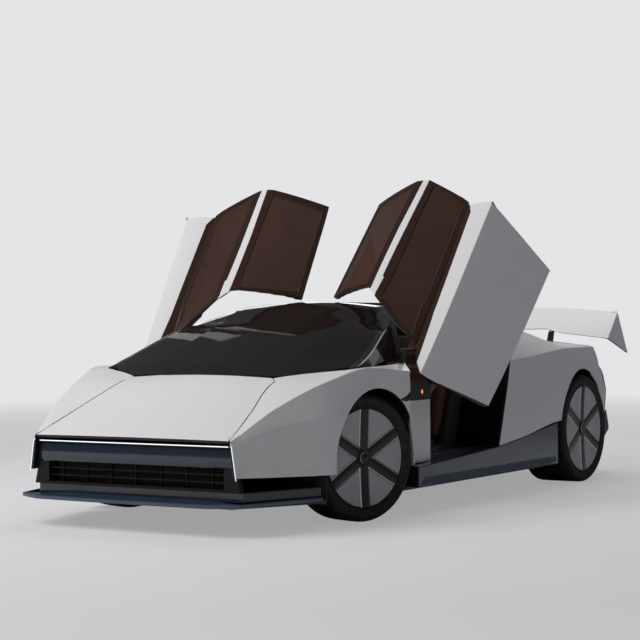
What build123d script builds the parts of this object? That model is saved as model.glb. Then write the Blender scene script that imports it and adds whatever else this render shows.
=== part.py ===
"""Low two-seat supercar with dihedral doors: body shell, cabin, wheels and steering.

Millimetres. +X is the car's left, -Y its nose, +Z up, z = 0 is the ground.
"""
import os
from math import cos, radians, sin

from build123d import *

# ---------------------------------------------------------------- driving dimensions
CAR_LENGTH = 4720.0            # splitter lip to wing trailing edge
NOSE_Y = -CAR_LENGTH / 2
TAIL_Y = CAR_LENGTH / 2
GAP = 5.0                      # shut line between neighbouring panels
SEAT = 0.3                     # clearance of a piece on what carries it
SKIN = 20.0                    # body panel with its inner frame
DOOR_WALL = 42.0               # thickness of the door's lower body
SCREEN = 9.0                   # laminated windscreen
PANE = 6.0                     # side and roof glass
FRAME = 30.0                   # greenhouse frame members

FRONT_AXLE_Y = -1305.0
REAR_AXLE_Y = 1395.0
KINGPIN_X = 803.0
FRONT_TYRE_R = 349.0
FRONT_TYRE_W = 245.0
FRONT_FACE_X = 923.0           # outer face of the tyre, wheel straight ahead
REAR_TYRE_R = 361.0
REAR_TYRE_W = 325.0
REAR_FACE_X = 990.0
FRONT_RIM_R = 276.0
REAR_RIM_R = 290.0
SPOKES = 6
SPOKE_START = 30.0             # degrees, one spoke points straight up
STEER_REST = -17.3             # degrees, wheels stand turned to the car's right

# y, z, radius of the opening in the skin
FRONT_ARCH = (FRONT_AXLE_Y + 21.0, FRONT_TYRE_R - 4.0, FRONT_TYRE_R + 35.0)
REAR_ARCH = (REAR_AXLE_Y + 5.0, REAR_TYRE_R, REAR_TYRE_R + 41.0)
LINER_WALL = 5.0
WELL_FRONT_Y = FRONT_AXLE_Y - 395.0

DOOR_OPEN = 61.5               # degrees, rest position of the doors
HINGE_POINT = (876.5, -850.0, 913.9)
HINGE_AXIS = (0.81985, -0.46167, -0.33868)

FLOOR_Z = 130.0
FLOOR_T = 30.0
SILL_TOP = 318.0
HEADER_Y = (-462.0, -392.0)    # front and rear edge of the windscreen header
ROOF_END_Y = 428.0
DOOR_END_Y = ROOF_END_Y - GAP - 0.5
REAR_GAP = GAP + 0.6           # along the slanted rear edge of the door
SPINE_HALF = 96.0              # half width of the fixed roof spine

# Body sections. Columns: y, low edge (x, z), side crease (x, z), belt (x, z),
# deck edge (x, z), centre z.
BODY = (
    (-2250, (690, 300), (664, 470), (659, 482), (652, 489), 492),
    (-1985, (797, 291), (790, 545), (744, 637), (597, 613), 628),
    (-1640, (938, 284), (938, 592), (858, 775), (521, 772), 792),
    (-1360, (966, 280), (970, 600), (946, 842), (863, 835), 850),
    (-900, (972, 280), (980, 600), (986, 812), (857, 853), 900),
    (262, (1000, 325), (1004, 600), (1000, 846), (817, 912), 950),
)

# Which way each column moves inwards, in wall thicknesses (x, z).
BODY_INWARD = ((-1.0, -0.8), (-1.0, 0.0), (-1.0, -0.45), (-0.5, -1.0))

# Greenhouse sections. Columns: y, foot (x, z), rail (x, z), top shoulder (x, z), centre z.
HOUSE = (
    (-1597, (511, 700), (508, 792), (280, 798), 800),
    (-1360, (863, 760), (858, 838), (460, 880), 890),
    (-789, (853, 860), (735, 1058), (430, 1098), 1110),
    (-460, (848, 876), (606, 1140), (500, 1186), 1218),
    (428, (812, 918), (557, 1121), (480, 1168), 1216),
)

HOUSE_INWARD = ((-1.0, -0.8), (-0.9, -0.7), (-0.3, -1.0))

# Rear body sections. Columns: y, low edge (x, z), side crease (x, z), belt (x, z),
# buttress edge (x, z), deck edge (x, z), centre z.
TAIL = (
    (90, (1000, 325), (1004, 600), (1000, 838), (600, 1128), (480, 1172), 1222),
    (428, (1000, 360), (1004, 620), (1001, 856), (557, 1121), (480, 1168), 1216),
    (1000, (1000, 435), (1004, 640), (993, 900), (737, 1016), (600, 1040), 1092),
    (1183, (998, 440), (1000, 645), (978, 908), (800, 953), (640, 985), 1040),
    (1640, (960, 440), (962, 650), (940, 908), (930, 909), (700, 925), 950),
    (1900, (915, 440), (925, 600), (905, 690), (880, 760), (700, 850), 880),
    (2090, (820, 440), (835, 600), (828, 690), (790, 760), (640, 850), 870),
)
TAIL_INWARD = ((-1.0, -0.8), (-1.0, 0.0), (-1.0, -0.3), (-0.7, -0.8), (-0.2, -1.0))


# ---------------------------------------------------------------- helpers
def bulge(first, second):
    """How far the middle of a facet's diagonal stands from the car's spine."""
    return abs(first[0] + second[0]) / 2 + (first[1] + second[1]) / 2


def outline(row, inward, wall):
    """Whole cross-section of one station, mirrored, each corner moved inwards by the wall."""
    left = [(x + wall * dx, z + wall * dz) for (x, z), (dx, dz) in zip(row[1:-1], inward)]
    return left + [(0.0, row[-1] - wall)] + [(-x, z) for x, z in reversed(left)]


def banded(rings, reach_of):
    """Closed body of flat facets between rings of points; each diagonal is the one that reaches out more."""
    count = len(rings[0])
    facets = [Face(Wire.make_polygon(ring)) for ring in (rings[0], rings[-1])]
    for near, far in zip(rings, rings[1:]):
        for k in range(count):
            n = (k + 1) % count
            if reach_of(near[k], far[n]) > reach_of(near[n], far[k]):
                corners = (near[k], near[n], far[n]), (near[k], far[n], far[k])
            else:
                corners = (near[k], near[n], far[k]), (near[n], far[n], far[k])
            facets += [Face(Wire.make_polygon(three)) for three in corners]
    return Solid(Shell(facets))


def hull(table, inward, wall=0.0, reach=0.0):
    """Closed body through a table's sections, inset by wall, longer by reach at both ends."""
    stations = [row[0] for row in table]
    true_stations = dict(zip(stations, table))
    rings, outer_of = [], {}
    for y, row in true_stations.items():
        end = reach * ((y == stations[-1]) - (y == stations[0]))
        ring = [Vector(x, y + end, z) for x, z in outline(row, inward, wall)]
        outer_of.update({tuple(p): q for p, q in zip(ring, outline(row, inward, 0.0))})
        rings.append(ring)
    return banded(rings, lambda first, second: bulge(outer_of[tuple(first)], outer_of[tuple(second)]))


def shell(table, inward, wall):
    """A hull's wall of the given thickness, open below and at both ends."""
    with BuildPart() as body:
        add(hull(table, inward))
        add(hull(table, inward, wall, 10.0), mode=Mode.SUBTRACT)
    return body.part


def plan_prism(points, low=0.0, high=1500.0, grow=0.0):
    """Upright prism on a top-view outline of (x, y) points, grown or shrunk all round."""
    with BuildPart() as body:
        with BuildSketch(Plane.XY.offset(low)):
            with BuildLine():
                Polyline(*points, close=True)
            make_face()
            if grow:
                offset(amount=grow, kind=Kind.INTERSECTION)
        extrude(amount=high - low)
    return body.part


def side_prism(points, near=300.0, far=1300.0, grow=0.0):
    """Prism across the car on a side-view outline of (y, z) points, between two x values."""
    with BuildPart() as body:
        with BuildSketch(Plane.YZ.offset(near)):
            with BuildLine():
                Polyline(*points, close=True)
            make_face()
            if grow:
                offset(amount=grow, kind=Kind.INTERSECTION)
        extrude(amount=far - near)
    return body.part


def front_prism(points, near, far):
    """Prism along the car on a front-view outline of (x, z) points, between two y values."""
    with BuildPart() as body:
        with BuildSketch(Plane.XZ.offset(-near)):
            with BuildLine():
                Polyline(*points, close=True)
            make_face()
        extrude(amount=near - far)
    return body.part


def block(low, high):
    """Box between two corners."""
    with BuildPart() as body:
        with BuildSketch(Plane.XY.offset(low[2])):
            with Locations(((low[0] + high[0]) / 2, (low[1] + high[1]) / 2)):
                Rectangle(high[0] - low[0], high[1] - low[1])
        extrude(amount=high[2] - low[2])
    return body.part


def cross_cylinder(y, z, radius, near, far):
    """Cylinder along X between two x values."""
    with BuildPart() as body:
        with BuildSketch(Plane.YZ.offset(near)):
            with Locations((y, z)):
                Circle(radius)
        extrude(amount=far - near)
    return body.part


def save(builder, label):
    """Label a finished sub-part and write its file."""
    builder.part.label = label
    export_step(builder.part, f"parts/{label}.step")


def mirrored(builder, label):
    """The right-hand copy of a left-hand sub-part."""
    with BuildPart() as other:
        add(mirror(builder.part, about=Plane.YZ))
    save(other, label)


os.makedirs("parts", exist_ok=True)

# ---------------------------------------------------------------- body skin: front
body_skin = shell(BODY, BODY_INWARD, SKIN)
arch_front = cross_cylinder(*FRONT_ARCH, 480, 1200)
arch_rear = cross_cylinder(*REAR_ARCH, 480, 1200)

NOSE_HALF = 650.0
COWL_HALF = 511.0
COWL_Y = -1597.0
PILLAR_FOOT = (863.0, -1360.0)
bonnet_plan = ((-NOSE_HALF, -2248), (NOSE_HALF, -2248), (COWL_HALF, COWL_Y), (-COWL_HALF, COWL_Y))

BONNET_HINGE = (-1602.0, 788.0)        # y, z of the hinge line
COVER_HINGE = (491.0, 1192.0)
LID_BARREL_R = (8.0, 6.0)
LID_BARREL_HALF = (30.0, 20.0)


def lid_bracket(spot, radius, half, foot):
    """Fixed hinge barrel across the car with an arm down to a foot of (y, z) points."""
    with BuildPart() as body:
        add(cross_cylinder(*spot, radius, -half, half))
        add(side_prism(((spot[0] - radius * 0.6, spot[1]), (spot[0] + radius * 0.6, spot[1]), *foot), -half, half))
    return body.part


def lid_socket(spot, radius, half):
    """Room for a lid bracket inside the lid's skin."""
    with BuildPart() as body:
        add(cross_cylinder(*spot, radius + SEAT, -half - SEAT, half + SEAT))
        add(block((-half - SEAT, spot[0] - radius - 2, spot[1] - 22), (half + SEAT, spot[0] + radius + 2, spot[1])))
    return body.part


with BuildPart() as bonnet:
    add(body_skin)
    add(plan_prism(bonnet_plan, 430), mode=Mode.INTERSECT)
    add(lid_socket(BONNET_HINGE, LID_BARREL_R[0], LID_BARREL_HALF[0]), mode=Mode.SUBTRACT)
save(bonnet, "bonnet")

# Door cut-lines seen from the side, as (y, z): front edge, sill edge, rear edge.
DOOR_TIP = (-968.0, 800.0)
DOOR_LOW_FRONT = (-889.0, 350.0)
DOOR_LOW_REAR = (94.0, 337.0)
DOOR_BELT_REAR = (251.0, 845.0)
DOOR_SHOULDER_REAR = (282.0, 914.0)
DOOR_SHOULDER_FRONT = (-789.0, 862.0)

SHOULDER_FRONT = (853.0, -789.0)       # x, y of the door's front shoulder corner
fender_plan = (
    (NOSE_HALF + GAP + 1, -2250), (COWL_HALF + GAP + 1, COWL_Y), (PILLAR_FOOT[0] + 8, PILLAR_FOOT[1]),
    (SHOULDER_FRONT[0] + 6, SHOULDER_FRONT[1] - 18), (985, DOOR_TIP[0] - GAP - 3), (1200, DOOR_TIP[0] - GAP - 3),
    (1200, -2250),
)
fender_side = (
    (-2300, 200), (DOOR_LOW_FRONT[0] - GAP, 200), (DOOR_LOW_FRONT[0] - GAP, DOOR_LOW_FRONT[1]),
    (DOOR_TIP[0] - GAP, DOOR_TIP[1]), (-700, DOOR_TIP[1]), (-700, 1000), (-2300, 1000),
)
flange_side = (
    (DOOR_LOW_FRONT[0] - GAP - 11, 282), (DOOR_LOW_FRONT[0] - GAP, 282), (DOOR_LOW_FRONT[0] - GAP, DOOR_LOW_FRONT[1]),
    (DOOR_TIP[0] - GAP, DOOR_TIP[1]), (DOOR_TIP[0] - GAP - 11, DOOR_TIP[1]),
    (DOOR_LOW_FRONT[0] - GAP - 11, DOOR_LOW_FRONT[1]),
)
jamb_side = (
    (DOOR_LOW_FRONT[0] - GAP - 8, 283.3), (-612, 283.3), (-612, 745), (DOOR_TIP[0] + 30, 760),
    (DOOR_LOW_FRONT[0] - GAP - 8, DOOR_LOW_FRONT[1]),
)
HINGE = Axis(HINGE_POINT, HINGE_AXIS)
HINGE_LINE = Vector(*HINGE_AXIS)
HINGE_R = 12.0
LUG_AT, LUG_WIDTH = -34.0, 20.0        # along the hinge line, from the hinge point
BRACKET_AT, BRACKET_WIDTH = LUG_AT + LUG_WIDTH + SEAT, 27.0
LUG_END = (860.0, -778.0, 846.0)       # inside the door's front shoulder corner
BRACKET_FOOT = (866.0, -852.0, 852.0)  # inside the fender's top skin


def hinge_arm(target, along, width, end_radius):
    """Arm across the hinge line from a barrel on it to a target point."""
    origin = Vector(*HINGE_POINT) + HINGE_LINE * along
    reach = Vector(*target) - origin
    reach = reach - HINGE_LINE * reach.dot(HINGE_LINE)
    with BuildPart() as body:
        with BuildSketch(Plane(origin=origin, x_dir=reach.normalized(), z_dir=HINGE_LINE)):
            Circle(HINGE_R)
            with Locations((reach.length, 0)):
                Circle(end_radius)
            make_hull()
        extrude(amount=width)
    return body.part


with BuildPart() as left_front_fender:
    add(body_skin)
    add(plan_prism(fender_plan), mode=Mode.INTERSECT)
    add(side_prism(fender_side), mode=Mode.INTERSECT)
    add(arch_front, mode=Mode.SUBTRACT)
    add(side_prism(flange_side, 880, 966))
    add(side_prism(jamb_side, 880, 912))
    add(hinge_arm(BRACKET_FOOT, BRACKET_AT, BRACKET_WIDTH, 14))
save(left_front_fender, "left_front_fender")
mirrored(left_front_fender, "right_front_fender")

# ---------------------------------------------------------------- nose
FASCIA_Y = -2215.0
with BuildPart() as front_fascia:
    with BuildSketch(Plane.XZ.offset(-(FASCIA_Y + 40))):
        with BuildLine():
            Polyline((-690, 222), (690, 222), (672, 300), (640, 466), (-640, 466), (-672, 300), close=True)
        make_face()
    extrude(amount=40)
    with BuildSketch(Plane.XZ.offset(-(FASCIA_Y + 40))):
        with Locations((0, 290)):
            Rectangle(1180, 110)
    extrude(amount=40, mode=Mode.SUBTRACT)
    with BuildSketch(Plane.XZ.offset(-(FASCIA_Y + 40))):
        with Locations((0, 270), (0, 310)):
            Rectangle(1180, 8)
    extrude(amount=20)
save(front_fascia, "front_fascia")

with BuildPart() as front_light_bar:
    add(block((-640, -2236, 453), (640, FASCIA_Y - SEAT, 465)))
save(front_light_bar, "front_light_bar")

splitter_plan = (
    (0, NOSE_Y), (560, NOSE_Y + 12), (735, NOSE_Y + 90), (900, WELL_FRONT_Y - 60), (870, WELL_FRONT_Y),
    (-870, WELL_FRONT_Y), (-900, WELL_FRONT_Y - 60), (-735, NOSE_Y + 90), (-560, NOSE_Y + 12),
)
with BuildPart() as front_splitter:
    add(plan_prism(splitter_plan, 150, 172))
    add(plan_prism(((-690, -2180), (690, -2180), (860, WELL_FRONT_Y - 5), (-860, WELL_FRONT_Y - 5)), 172, 222))
save(front_splitter, "front_splitter")

# ---------------------------------------------------------------- windscreen and roof frame
house_skin = shell(HOUSE, HOUSE_INWARD, FRAME)
screen_skin = shell(HOUSE, HOUSE_INWARD, SCREEN)
PILLAR_TOP = (618.0, -512.0)
PILLAR_MID = (735.0, -789.0)
ROOF_CORNER = (548.0, -452.0)
PILLAR_W = 42.0
screen_plan = (
    (-COWL_HALF + 4, COWL_Y + 16), (COWL_HALF - 4, COWL_Y + 16), (PILLAR_FOOT[0] - PILLAR_W - SEAT, PILLAR_FOOT[1] + 4),
    (PILLAR_MID[0] - PILLAR_W - SEAT, PILLAR_MID[1]), (PILLAR_TOP[0] - PILLAR_W - SEAT, -548 - SEAT),
    (0, HEADER_Y[0] - SEAT), (-PILLAR_TOP[0] + PILLAR_W + SEAT, -548 - SEAT),
    (-PILLAR_MID[0] + PILLAR_W + SEAT, PILLAR_MID[1]), (-PILLAR_FOOT[0] + PILLAR_W + SEAT, PILLAR_FOOT[1] + 4),
)
quarter_glass_plan = ((865.4, -1356), (735.35, -788.9), (624.3, -526), (790, -733), (842, -880))
with BuildPart() as windscreen:
    add(screen_skin)
    with BuildPart(mode=Mode.PRIVATE) as screen_region:
        add(plan_prism(screen_plan, 700))
        add(plan_prism(quarter_glass_plan, 872))
        add(mirror(plan_prism(quarter_glass_plan, 872), about=Plane.YZ))
    add(screen_region.part, mode=Mode.INTERSECT)
save(windscreen, "windscreen")

frame_plan = (
    (PILLAR_FOOT[0] - PILLAR_W, PILLAR_FOOT[1] + 4), (PILLAR_FOOT[0] + 2, PILLAR_FOOT[1] + 4),
    (PILLAR_MID[0], PILLAR_MID[1]), PILLAR_TOP, ROOF_CORNER, (SPINE_HALF, HEADER_Y[1]), (SPINE_HALF, ROOF_END_Y),
    (0, ROOF_END_Y), (0, HEADER_Y[0]), (PILLAR_TOP[0] - PILLAR_W, -548),
    (PILLAR_MID[0] - PILLAR_W, PILLAR_MID[1]),
)
hoop_plan = ((0, 427.9), (SPINE_HALF, 427.9), (SPINE_HALF, 433), (559.7, 433), (561.5, 474.5), (0, 474.5))
tail_skin = shell(TAIL, TAIL_INWARD, SKIN)
with BuildPart() as frame_region:
    add(plan_prism(frame_plan, 700))
    add(mirror(plan_prism(frame_plan, 700), about=Plane.YZ))
with BuildPart() as hoop_region:
    add(plan_prism(hoop_plan, 700))
    add(mirror(plan_prism(hoop_plan, 700), about=Plane.YZ))
with BuildPart() as roof_hoop:
    add(shell(TAIL, TAIL_INWARD, FRAME))
    add(hoop_region.part, mode=Mode.INTERSECT)
with BuildPart() as roof_frame:
    add(house_skin)
    add(frame_region.part, mode=Mode.INTERSECT)
    add(roof_hoop.part)
    for side in (-1, 1):
        add(block((side * 840 - 18, -1352, 754.3), (side * 840 + 18, -1310, 805)))
save(roof_frame, "roof_frame")

# ---------------------------------------------------------------- left door, modelled shut
door_skin_side = (
    (DOOR_TIP[0], 1000), DOOR_TIP, DOOR_LOW_FRONT, DOOR_LOW_REAR, DOOR_BELT_REAR, DOOR_SHOULDER_REAR,
    (DOOR_SHOULDER_REAR[0], 1000),
)
door_skin_plan = (
    (826, SHOULDER_FRONT[1] + 14), SHOULDER_FRONT, (986, DOOR_TIP[0]), (1200, DOOR_TIP[0]), (1200, 300), (788, 300),
)
door_house_side = (
    (-780, 840), (-502, 1128), (-448, 1175), (-387, 1300), (355, 1300), (DOOR_END_Y, 1180), (DOOR_END_Y, 1121),
    DOOR_SHOULDER_REAR,
    (270, 880), (-760, 830),
)
door_roof_plan = (
    (SPINE_HALF + GAP + 0.4, HEADER_Y[1] + GAP + 0.4), (ROOF_CORNER[0] + 2, ROOF_CORNER[1] + GAP + 0.4),
    (PILLAR_TOP[0] + 1, -505), (900, -800), (900, DOOR_END_Y), (557, DOOR_END_Y), (SPINE_HALF + GAP + 0.4, 355),
)
# Slant of the door roof's front face, which lets it lift past the header.
# Columns: x, y and z of the face's top edge, how far back the face runs at SLANT_DEPTH.
SLANT_DEPTH = 80.0
SLANT_EASE = 4.5               # set-back of the face's top edge
DOOR_SLANT = (
    (150, -393.1, 1207.9, 4), (186, -397.9, 1205.7, 14), (277, -410.1, 1199.7, 34), (367, -422.1, 1193.9, 48),
    (458, -434.3, 1188.2, 58), (499, -439.9, 1185.8, 60), (550, -446.6, 1163.8, 60), (619, -505.0, 1130.4, 36),
    (640, -527.0, 1114.4, 34), (700, -590.0, 1054.6, 30),
)
# Slant of the door's rear face below the belt. Columns: outer x, y and z of the edge, set-back of its inner corner.
REAR_SLANT_DEPTH = DOOR_WALL + 18
DOOR_REAR_SLANT = ((1003, 88.1, 318, 30), (1005, 144.0, 500, 20), (1005, 206.0, 700, 14), (1003, 251.0, 845, 2))
side_window = ((-705, 893), (-487, 1103), (375, 1092), (258, 938))
roof_window = ((SPINE_HALF + 40, -352), (505, -402), (470, 368), (SPINE_HALF + 40, 315))
glass_layer = (4.0, 4.0 + PANE)


def layer(table, inward, outer, inner):
    """The part of a hull's wall between two depths."""
    with BuildPart() as body:
        add(hull(table, inward, outer, 0.0))
        add(hull(table, inward, inner, 10.0), mode=Mode.SUBTRACT)
    return body.part


slant_rings = [
    [Vector(x, y - 4, z + 2), Vector(x, y - 4, z - SLANT_DEPTH),
     Vector(x, y + back, z - SLANT_DEPTH), Vector(x, y + SLANT_EASE, z + 2)]
    for x, y, z, back in DOOR_SLANT
]
rear_slant_rings = [
    [Vector(x + 3, y + 0.5, z), Vector(x - REAR_SLANT_DEPTH, y + 4, z), Vector(x - REAR_SLANT_DEPTH, y - back, z)]
    for x, y, z, back in DOOR_REAR_SLANT
]
DOOR_BODY = BODY[3:]
with BuildPart() as door_lower:
    add(shell(DOOR_BODY, BODY_INWARD, DOOR_WALL))
    add(side_prism(door_skin_side, 700), mode=Mode.INTERSECT)
    add(plan_prism(door_skin_plan), mode=Mode.INTERSECT)
    add(banded(rear_slant_rings, lambda first, second: 0), mode=Mode.SUBTRACT)
with BuildPart() as door_house:
    add(house_skin)
    add(side_prism(door_house_side, SPINE_HALF + GAP), mode=Mode.INTERSECT)
    add(plan_prism(door_roof_plan, 700), mode=Mode.INTERSECT)
    add(banded(slant_rings, lambda first, second: 0), mode=Mode.SUBTRACT)
    add(side_prism(side_window, 560, 1000), mode=Mode.SUBTRACT)
    add(plan_prism(roof_window, 1000), mode=Mode.SUBTRACT)
with BuildPart() as left_door:
    add(hinge_arm(LUG_END, LUG_AT, LUG_WIDTH, 8).rotate(HINGE, DOOR_OPEN))
    add(door_lower.part.rotate(HINGE, DOOR_OPEN))
    add(door_house.part.rotate(HINGE, DOOR_OPEN))
save(left_door, "left_door")
mirrored(left_door, "right_door")

pane_skin = layer(HOUSE, HOUSE_INWARD, *glass_layer)
with BuildPart() as side_pane:
    add(pane_skin)
    add(side_prism(side_window, 560, 1000, grow=-0.4), mode=Mode.INTERSECT)
with BuildPart() as roof_pane:
    add(pane_skin)
    add(plan_prism(roof_window, 1000, grow=-0.4), mode=Mode.INTERSECT)
with BuildPart() as left_door_glass:
    add(side_pane.part.rotate(HINGE, DOOR_OPEN))
    add(roof_pane.part.rotate(HINGE, DOOR_OPEN))
save(left_door_glass, "left_door_glass")
mirrored(left_door_glass, "right_door_glass")

trim_side = ((-600, 745), (-600, 400), (75, 385), (205, 790), (-560, 770))
with BuildPart() as trim_shut:
    add(layer(DOOR_BODY, BODY_INWARD, DOOR_WALL + SEAT, DOOR_WALL + 16))
    add(side_prism(trim_side, 700), mode=Mode.INTERSECT)
with BuildPart() as left_door_trim:
    add(trim_shut.part.rotate(HINGE, DOOR_OPEN))
save(left_door_trim, "left_door_trim")
mirrored(left_door_trim, "right_door_trim")

# ---------------------------------------------------------------- rear body
QUARTER_END_Y = 1895.0
quarter_side = (
    (DOOR_LOW_REAR[0] + REAR_GAP, 300), (DOOR_LOW_REAR[0] + REAR_GAP, DOOR_LOW_REAR[1]),
    (DOOR_BELT_REAR[0] + REAR_GAP, DOOR_BELT_REAR[1]), (DOOR_SHOULDER_REAR[0] + REAR_GAP, DOOR_SHOULDER_REAR[1]),
    (ROOF_END_Y, 1119), (435, 1140), (435, 1300), (QUARTER_END_Y, 1300), (QUARTER_END_Y, 300),
)
quarter_plan = (
    (560, 80), (560, 428), (562, 475), (740, 1000), (803, 1183), (933, 1640), (883, 1900), (1200, 1900), (1200, 80),
)
with BuildPart() as left_rear_quarter:
    add(tail_skin)
    add(side_prism(quarter_side), mode=Mode.INTERSECT)
    add(plan_prism(quarter_plan), mode=Mode.INTERSECT)
    add(arch_rear, mode=Mode.SUBTRACT)
save(left_rear_quarter, "left_rear_quarter")
mirrored(left_rear_quarter, "right_rear_quarter")

cover_plan = (
    (-540, 486), (540, 486), (733, 1000), (796, 1183), (924, 1640), (876, 1893),
    (-876, 1893), (-924, 1640), (-796, 1183), (-733, 1000),
)
with BuildPart() as engine_cover:
    add(tail_skin)
    add(plan_prism(cover_plan, 730), mode=Mode.INTERSECT)
    add(lid_socket(COVER_HINGE, LID_BARREL_R[1], LID_BARREL_HALF[1]), mode=Mode.SUBTRACT)
save(engine_cover, "engine_cover")

with BuildPart() as tail_panel:
    add(hull(TAIL, TAIL_INWARD))
    add(block((-1000, QUARTER_END_Y + 7, 400), (1000, 2090, 1000)), mode=Mode.INTERSECT)
    with BuildPart(mode=Mode.PRIVATE) as spigot:
        add(hull(TAIL, TAIL_INWARD, SKIN + SEAT))
        add(block((-1000, 1870, 400), (1000, 1904, 700)), mode=Mode.INTERSECT)
    add(spigot.part)
    add(block((-760, 1850, 420), (760, 2060, 800)), mode=Mode.SUBTRACT)
    add(block((-770, 2070, 690), (770, 2100, 740)), mode=Mode.SUBTRACT)
save(tail_panel, "tail_panel")

with BuildPart() as tail_light_bar:
    add(block((-765, 2070.3, 695), (765, 2086, 735)))
save(tail_light_bar, "tail_light_bar")

diffuser_side = ((1815, 150.3), (1815, 200), (2080, 439.7), (2250, 439.7), (2290, 330), (2290, 300), (2050, 150.3))
with BuildPart() as rear_diffuser:
    add(side_prism(diffuser_side, -780, 780))
    add(side_prism(((1780, 130), (1780, 132), (2060, 180), (2300, 300), (2300, 130)), -600, 600), mode=Mode.SUBTRACT)
save(rear_diffuser, "rear_diffuser")

# Half of the wing. Columns: x, leading edge (y, z), trailing edge (y, z).
WING = (
    (0, (2100, 1027), (TAIL_Y, 1190)),
    (390, (2070, 1031), (TAIL_Y - 40, 1187)),
    (500, (2050, 1004), (TAIL_Y - 62, 1180)),
    (900, (2010, 960), (TAIL_Y - 170, 1149)),
)
WING_T = 30.0
WING_TIP = (950.0, 2250.0, 853.0)      # lowest point of the end plate
PLATE_T = 14.0
STRUT_X = 420.0
strut_side = ((1990, 830), (2070, 830), (2150, 1065), (2075, 1010))


def wing_ring(x, lead, trail):
    """Section of the wing: top edge points, then the underside's."""
    under = [(lead[0] + WING_T * 0.8, lead[1] - 4), (trail[0] - 6, trail[1] - WING_T)]
    return [Vector(x, y, z) for y, z in (lead, trail, under[1], under[0])]


wing_rows = [(-x, lead, trail) for x, lead, trail in WING[:0:-1]] + list(WING)
plate_corners = ((WING[-1][0], *WING[-1][2]), (WING[-1][0], *WING[-1][1]), WING_TIP)
with BuildPart() as rear_wing:
    add(banded([wing_ring(*row) for row in wing_rows], lambda first, second: first.Z + second.Z))
    for side in (-1, 1):
        add(banded([[Vector(side * (x - inset), y, z) for x, y, z in plate_corners] for inset in (0, PLATE_T)],
                   lambda first, second: 0))
        add(side_prism(strut_side, side * STRUT_X - 12, side * STRUT_X + 12))
    add(hull(TAIL, TAIL_INWARD, -SEAT), mode=Mode.SUBTRACT)
save(rear_wing, "rear_wing")

# ---------------------------------------------------------------- sills, underbody, tub
sill_side = (
    (-880, 152), (-880, 274), (-740, 276), (90, 320), (428, 354), (978, 427), (978, 152),
)
with BuildPart() as left_sill:
    add(side_prism(sill_side, 885, 985))
save(left_sill, "left_sill")
mirrored(left_sill, "right_sill")

floor_plan = (
    (0, -2160), (600, -2160), (840, WELL_FRONT_Y - 5), (880, WELL_FRONT_Y), (880, 1000), (800, 1780), (780, 2040), (0, 2040),
)
body_plan = (
    (0, -2200), (640, -2200), (765, -1985), (885, -1700), (905, -1640), (920, -900), (884, -899), (884, 980),
    (950, 981), (950, 1640), (880, 1900), (0, 1900),
)
LINER_TOP = 738.0
FLOOR_TOP = 150.0
# Wheel wells: inner x, front y, rear y at the floor, rear y at the top, height of the slanted part's foot, top z.
WELL_KNEE = 350.0
FRONT_WELL = (522, WELL_FRONT_Y, FRONT_AXLE_Y + 393, FRONT_AXLE_Y + 320, WELL_KNEE, LINER_TOP)
REAR_WELL = (625, REAR_AXLE_Y - 410, REAR_AXLE_Y + 417, REAR_AXLE_Y + 417, WELL_KNEE, 765)


def well(sizes, wall, low):
    """Room of a wheel well inside a wall, open outwards, from a low z up."""
    inner, front, rear, rear_top, knee, top = sizes
    side = (
        (front + wall, low), (front + wall, top - wall), (rear_top - wall, top - wall),
        (rear - wall, knee), (rear - wall, low),
    )
    return side_prism(side, inner + wall, 1150)


with BuildPart() as liner_room:
    add(hull(BODY, BODY_INWARD, SKIN + SEAT))
    add(hull(TAIL, TAIL_INWARD, SKIN + SEAT))
    add(plan_prism(body_plan, 100, 330))
with BuildPart() as left_front_liner:
    add(well(FRONT_WELL, 0, FLOOR_TOP + SEAT))
    add(well(FRONT_WELL, LINER_WALL, 50), mode=Mode.SUBTRACT)
    add(liner_room.part, mode=Mode.INTERSECT)
    add(side_prism(((-990, 830), (-905, 340), (-850, 340), (-850, 900)), 914, 1100), mode=Mode.SUBTRACT)
    add(block((500, -1710, 700), (550, -1590, 760)), mode=Mode.SUBTRACT)
with BuildPart() as left_rear_liner:
    add(well(REAR_WELL, 0, FLOOR_TOP + SEAT))
    add(well(REAR_WELL, LINER_WALL, 50), mode=Mode.SUBTRACT)
    add(liner_room.part, mode=Mode.INTERSECT)
    add(cross_cylinder(REAR_AXLE_Y, REAR_TYRE_R, 46, 500, 700), mode=Mode.SUBTRACT)
with BuildPart() as wheel_liners:
    for liner in (left_front_liner.part, left_rear_liner.part):
        add(liner)
        add(mirror(liner, about=Plane.YZ))
save(wheel_liners, "wheel_liners")
with BuildPart() as half_underbody:
    add(plan_prism(floor_plan, 130, 150))
    add(well(FRONT_WELL, LINER_WALL, 50), mode=Mode.SUBTRACT)
    add(well(REAR_WELL, LINER_WALL, 50), mode=Mode.SUBTRACT)
with BuildPart() as underbody:
    add(half_underbody.part)
    add(mirror(half_underbody.part, about=Plane.YZ))
save(underbody, "underbody")

with BuildPart() as hoop_clear:
    add(shell(TAIL, TAIL_INWARD, FRAME + SEAT))
    add(plan_prism(((-10, 420), (562, 420), (562, 480), (-10, 480)), 900), mode=Mode.INTERSECT)
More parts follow.
